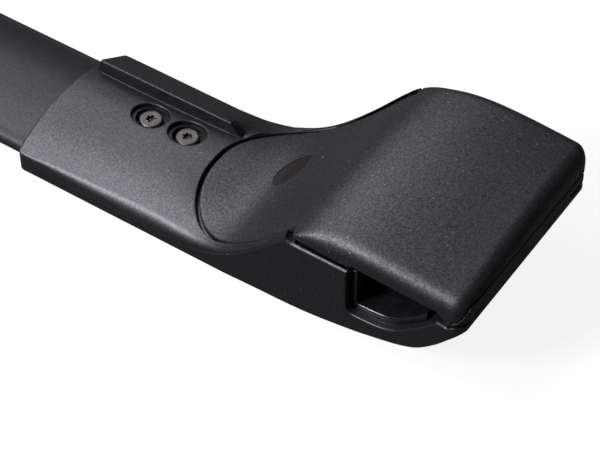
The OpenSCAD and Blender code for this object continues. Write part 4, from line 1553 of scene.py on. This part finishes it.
def scatter_tree() -> Tree:
    """A tree that puts an object on every point of a mesh, each turned by its own chance angle."""
    tree = Tree("fastener_rows")
    thing = tree.ask("Fastener", "NodeSocketObject")
    turn = tree.ask("Turn", "NodeSocketFloat")
    seed = tree.ask("Seed", "NodeSocketInt")
    material = tree.ask("Finish", "NodeSocketMaterial")
    info = tree.node("GeometryNodeObjectInfo", {"transform_space": "ORIGINAL"}, {"Object": thing})
    chance = tree.node("FunctionNodeRandomValue", {"data_type": "FLOAT"}, {"Max": turn, "Seed": seed})
    spin = tree.node("ShaderNodeCombineXYZ", None, {"Z": chance.outputs[1]})
    rows = tree.node("GeometryNodeInstanceOnPoints", None, {
        "Points": tree.start.outputs["Geometry"], "Instance": info.outputs["Geometry"], "Rotation": spin.outputs[0]})
    tree.end(rows.outputs[0], material)
    return tree


def seed_mesh(name: str, points: np.ndarray, edges: Sequence[tuple[int, int]] = ()) -> bpy.types.Object:
    """An object of loose points or edges for a tree to work on."""
    mesh = bpy.data.meshes.new(name)
    mesh.from_pydata([tuple(p) for p in points], list(edges), [])
    thing = bpy.data.objects.new(name, mesh)
    bpy.context.collection.objects.link(thing)
    return thing


@dataclass
class Bars:
    """The two hollow bars, with spot faces and holes for the fixing screws."""

    foot: Foot
    fitter: Fitter

    def loops(self) -> list[np.ndarray]:
        """Outline of the section and of its three chambers, in the foot's y and z."""
        foot = self.foot
        inner = foot.bar_outline(-foot.bar_wall)
        web, half = foot.bar_wall, foot.chamber / 2
        parts = [(None, foot.screw_y - half - web, None), (foot.screw_y - half, foot.screw_y + half, foot.rib_z),
                 (foot.screw_y + half + web, None, None)]
        return [foot.bar_outline()] + [clipped(inner, low, high, roof) for low, high, roof in parts]

    def build(self, tree: Tree) -> None:
        """Builds and places both bars.

        Args:
            tree: The tree that runs a section along X.
        """
        foot = self.foot
        for name, node, k in (("bar_front", "front_bar", 1), ("bar_rear", "rear_bar", 3)):
            low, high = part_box(node)
            place = self.fitter.places[k]
            half = (high.x - low.x) / 2
            points, edges = [], []
            for loop in self.loops():
                first = len(points)
                points += [(y * MM, z * MM, 0.0) for y, z in loop]
                edges += [(first + i, first + (i + 1) % len(loop)) for i in range(len(loop))]
            mesh = tree.run(seed_mesh(name, np.array(points), edges),
                            {"Length": 2 * half, "Finish": self.fitter.materials["bar"]})
            flat = np.empty(len(mesh.vertices) * 3)
            mesh.vertices.foreach_get("co", flat)
            flat = flat.reshape(-1, 3)
            millimetres = np.stack([(flat[:, 2] - half) / MM, flat[:, 0] / MM, flat[:, 1] / MM], 1)
            mesh.vertices.foreach_set("co", millimetres.ravel())
            bar = bpy.data.objects.new(name + "_raw", mesh)
            bpy.context.collection.objects.link(bar)
            tools = []
            for side in (-1, 1):
                for i in range(2):
                    x = side * (place.start / MM + foot.screw_x + i * foot.screw_pitch)
                    at = (x, foot.screw_y, 0)
                    tools.append(rod(f"spot_{side}_{i}", foot.spot_d / 2, foot.seat_z, foot.seat_z + 20, at))
                    tools.append(rod(f"hole_{side}_{i}", foot.screw_d / 2 + 0.3, foot.rib_z - 2, foot.rib_z + 18, at))
            work(bar, Cut.TAKE, *tools)
            shaped = bar.data
            bpy.data.objects.remove(bar)
            shaped.vertices.foreach_get("co", flat := np.empty(len(shaped.vertices) * 3))
            moved = flat.reshape(-1, 3) * MM + np.array([0, place.side, 0])
            shaped.vertices.foreach_set("co", moved.ravel())
            self.fitter.dress(shaped, name, "bar", "bars", node)


def clipped(outline: np.ndarray, low: float | None, high: float | None, roof: float | None) -> np.ndarray:
    """Cuts a convex outline off at two sides and at the top.

    Args:
        outline: The corners, turning left.
        low: The least y, or None.
        high: The greatest y, or None.
        roof: The greatest z, or None.

    Returns:
        The corners that are left.
    """
    for axis, sign, limit in ((0, -1, low), (0, 1, high), (1, 1, roof)):
        if limit is None:
            continue
        kept: list[np.ndarray] = []
        for a, b in zip(outline, np.roll(outline, -1, 0)):
            da, db = sign * (limit - a[axis]), sign * (limit - b[axis])
            if da >= 0:
                kept.append(a)
            if da * db < 0:
                kept.append(a + (b - a) * da / (da - db))
        outline = np.array(kept)
    return outline


@dataclass
class Fasteners:
    """The pieces of which every foot has the same one or two."""

    foot: Foot
    fitter: Fitter

    def points(self, spots: Sequence[tuple[float, float, float]]) -> np.ndarray:
        """Spots of the foot's frame, at all four feet in metres."""
        local = np.array(spots, float)
        return np.concatenate([self.fitter.places[k].metres(local) for k in FEET])

    def rows(self, tree: Tree, thing: bpy.types.Object, origin: Sequence[float], spots: Sequence[tuple[float, float, float]],
             turn: float, name: str, finish: str, node: str) -> None:
        """Puts copies of a fastener at all four feet, as one piece.

        Args:
            tree: The tree that puts them there.
            thing: The fastener in millimetres, which is used up.
            origin: The point of it that goes on a spot.
            spots: Its spots in the foot's frame.
            turn: The greatest angle by which one may be turned.
            name: The piece's name.
            finish: The key of its finish.
            node: The node that it stands for.
        """
        points = np.empty(len(thing.data.vertices) * 3)
        thing.data.vertices.foreach_get("co", points)
        local = (points.reshape(-1, 3) - np.array(origin)) * MM
        thing.data.vertices.foreach_set("co", local.ravel())
        mesh = tree.run(seed_mesh(name, self.points(spots)), {
            "Fastener": thing, "Turn": turn, "Seed": 4, "Finish": self.fitter.materials[finish]})
        bpy.data.objects.remove(thing)
        self.fitter.dress(mesh, name, finish, "bars", node)

    def build(self, tree: Tree) -> None:
        """Builds the screws, nuts, plates and pins of all feet."""
        foot = self.foot
        mid = foot.form.mid_y
        screws = [(foot.screw_x + i * foot.screw_pitch, foot.screw_y, foot.seat_z) for i in range(2)]
        self.rows(tree, foot.screw(), (0, 0, 0), screws, math.radians(60), "round_head_screws", "screw", "fixing_screws")
        nut = (foot.bolt_x, mid, foot.nut_z)
        self.rows(tree, foot.nut(), nut, [nut], 0.0, "square_nuts", "zinc", "clamp_nuts")
        plate = (foot.screw_x + foot.screw_pitch / 2, foot.screw_y, foot.spigot_z)
        self.rows(tree, foot.nut_plate(), plate, [plate], 0.0, "threaded_plates", "zinc", "nut_plates")
        pin = (foot.hinge_x, mid, foot.hinge_z)
        self.rows(tree, foot.pin(), pin, [pin], 0.0, "hinge_pins", "pin", "cover_hinge_pins")


# The studio


@dataclass
class Studio:
    """Floor, light and camera."""

    place: Place
    azimuth: float = 33.9
    elevation: float = 47.7
    lens: float = 140.0
    sensor: float = 36.0
    distance: float = 1.02325
    aim: tuple[float, float, float] = (116.2, 49.6, -10.95)
    lamp_tint: tuple[float, float, float] = (1.0, 0.965, 1.06)
    backdrop_glow: float = 0.88
    mirrored_share: float = 0.05
    room_light: float = 0.05

    def camera(self) -> None:
        """Stands the camera at the photograph's angle."""
        a, e = math.radians(self.azimuth), math.radians(self.elevation)
        back = Vector((math.sin(a) * math.cos(e), -math.cos(a) * math.cos(e), math.sin(e)))
        aim = Vector(self.place.metres(np.array([self.aim]))[0])
        data = bpy.data.cameras.new("studio_camera")
        data.sensor_fit = "HORIZONTAL"
        data.sensor_width = self.sensor
        data.lens = self.lens
        data.clip_end = 50
        camera = bpy.data.objects.new("studio_camera", data)
        camera.location = aim + back * self.distance
        camera.rotation_euler = (math.pi / 2 - e, 0, a)
        bpy.context.collection.objects.link(camera)
        bpy.context.scene.camera = camera

    def softbox(self, name: str, azimuth: float, elevation: float, distance: float, size: tuple[float, float],
                power: float, aim: tuple[float, float, float]) -> None:
        """Hangs a softbox that faces a point of the foot.

        Args:
            name: The lamp's name.
            azimuth: Where it hangs, counted as the camera's azimuth.
            elevation: How high it hangs.
            distance: How far off it hangs, in metres.
            size: Its width and height, in metres.
            power: Its power in watts.
            aim: The point that it faces, in the foot's frame.
        """
        a, e = math.radians(azimuth), math.radians(elevation)
        way = Vector((math.sin(a) * math.cos(e), -math.cos(a) * math.cos(e), math.sin(e)))
        data = bpy.data.lights.new(name, "AREA")
        data.shape = "RECTANGLE"
        data.size, data.size_y = size
        data.energy = power
        data.color = self.lamp_tint
        lamp = bpy.data.objects.new(name, data)
        lamp.location = Vector(self.place.metres(np.array([aim]))[0]) + way * distance
        lamp.rotation_euler = way.to_track_quat("Z", "Y").to_euler()
        bpy.context.collection.objects.link(lamp)

    def lights(self) -> None:
        """Hangs the lamps and sets the room's light."""
        self.softbox("key_softbox", 300, 60, 1.3, (0.4, 0.4), 9.5, (60, 40, 10))
        self.softbox("front_softbox", 334, 38, 1.3, (0.4, 0.4), 26, (60, 40, 10))
        self.softbox("left_softbox", 242, 50, 1.3, (1.0, 0.8), 10, (60, 40, 10))
        world = bpy.data.worlds.new("studio_room")
        world.use_nodes = True
        tree = world.node_tree
        tree.nodes.clear()
        mix = tree.nodes.new("ShaderNodeMixShader")
        for slot, (colour, strength) in enumerate((((0.96, 0.98, 1.0, 1), self.room_light), ((1, 1, 1, 1), 1.0)), 1):
            room = tree.nodes.new("ShaderNodeBackground")
            room.inputs["Color"].default_value = colour
            room.inputs["Strength"].default_value = strength
            tree.links.new(room.outputs[0], mix.inputs[slot])
        rays = tree.nodes.new("ShaderNodeLightPath")
        share = None
        for ray, part in (("Is Camera Ray", 1.0), ("Is Glossy Ray", self.mirrored_share),
                          ("Is Transmission Ray", self.mirrored_share)):
            add = tree.nodes.new("ShaderNodeMath")
            add.operation = "MULTIPLY_ADD"
            tree.links.new(rays.outputs[ray], add.inputs[0])
            add.inputs[1].default_value = part
            add.inputs[2].default_value = 0.0
            if share:
                tree.links.new(share, add.inputs[2])
            share = add.outputs[0]
        tree.links.new(share, mix.inputs[0])
        end = tree.nodes.new("ShaderNodeOutputWorld")
        tree.links.new(mix.outputs[0], end.inputs[0])
        bpy.context.scene.world = world

    def floor(self) -> None:
        """Lays the pale floor."""
        size, thick = 6.0, 0.02
        low = min(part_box(f"end_support_{k}")[0].z for k in FEET)
        slab = box("studio_floor", (-size / 2, -size / 2, low - thick - 0.0002), (size, size, thick))
        g = Graph("floor_paper")
        clouds = g.noise(180.0, 2.0)
        paper = g.node("ShaderNodeBsdfDiffuse", None, {"Color": g.blend(clouds, (0.036,) * 3, (0.044,) * 3)})
        pale = g.node("ShaderNodeBsdfDiffuse", None, {"Color": g.blend(clouds, (0.93,) * 3, (0.95,) * 3)})
        white = g.node("ShaderNodeEmission", None, {"Color": (1, 1, 1, 1), "Strength": 1.0})
        lit = g.node("ShaderNodeMixShader", None, {0: self.backdrop_glow, 1: g.sock(pale), 2: g.sock(white)})
        rays = g.node("ShaderNodeLightPath")
        mirrored = g.sock(rays, "Is Glossy Ray") + g.sock(rays, "Is Transmission Ray")
        seen = g.sock(rays, "Is Camera Ray") + mirrored * self.mirrored_share
        mix = g.node("ShaderNodeMixShader", None, {0: seen, 1: g.sock(paper), 2: g.sock(lit)})
        end = g.node("ShaderNodeOutputMaterial")
        g.tree.links.new(mix.outputs[0], end.inputs[0])
        slab.data.materials.append(g.material)


def main() -> None:
    """Builds every piece in order."""
    logging.basicConfig(level=logging.INFO, format="%(message)s")
    bpy.context.scene.view_settings.view_transform = "Standard"
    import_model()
    foot = Foot()
    fitter = Fitter()
    Bars(foot, fitter).build(extrusion_tree())
    fitter.everywhere(foot.casting(), "casting", "foot", "bars", "end_support_{}")
    fitter.everywhere(foot.cover(), "lid", "cover", "cover_{}", "cover_{}")
    fitter.everywhere(foot.liner(), "channel_liner", "rubber", "bars", "rail_pad_{}")
    fitter.everywhere(foot.jaw(), "jaw_plate", "jaw", "jaw_{}", "clamp_jaw_{}")
    fitter.everywhere(foot.jaw_pad(), "jaw_rubber", "rubber", "jaw_{}", "jaw_pad_{}")
    fitter.everywhere(foot.bolt(), "domed_bolt", "zinc", "bolt_{}", "clamp_bolt_{}")
    fitter.everywhere(foot.washer(), "flat_washer", "zinc", "bolt_{}", "clamp_washer_{}")
    fitter.everywhere(foot.ring(), "spring_ring", "spring", "bolt_{}", "retaining_ring_{}")
    Fasteners(foot, fitter).build(scatter_tree())
    studio = Studio(fitter.places[1])
    studio.camera()
    studio.lights()
    studio.floor()


if __name__ == "__main__":
    main()
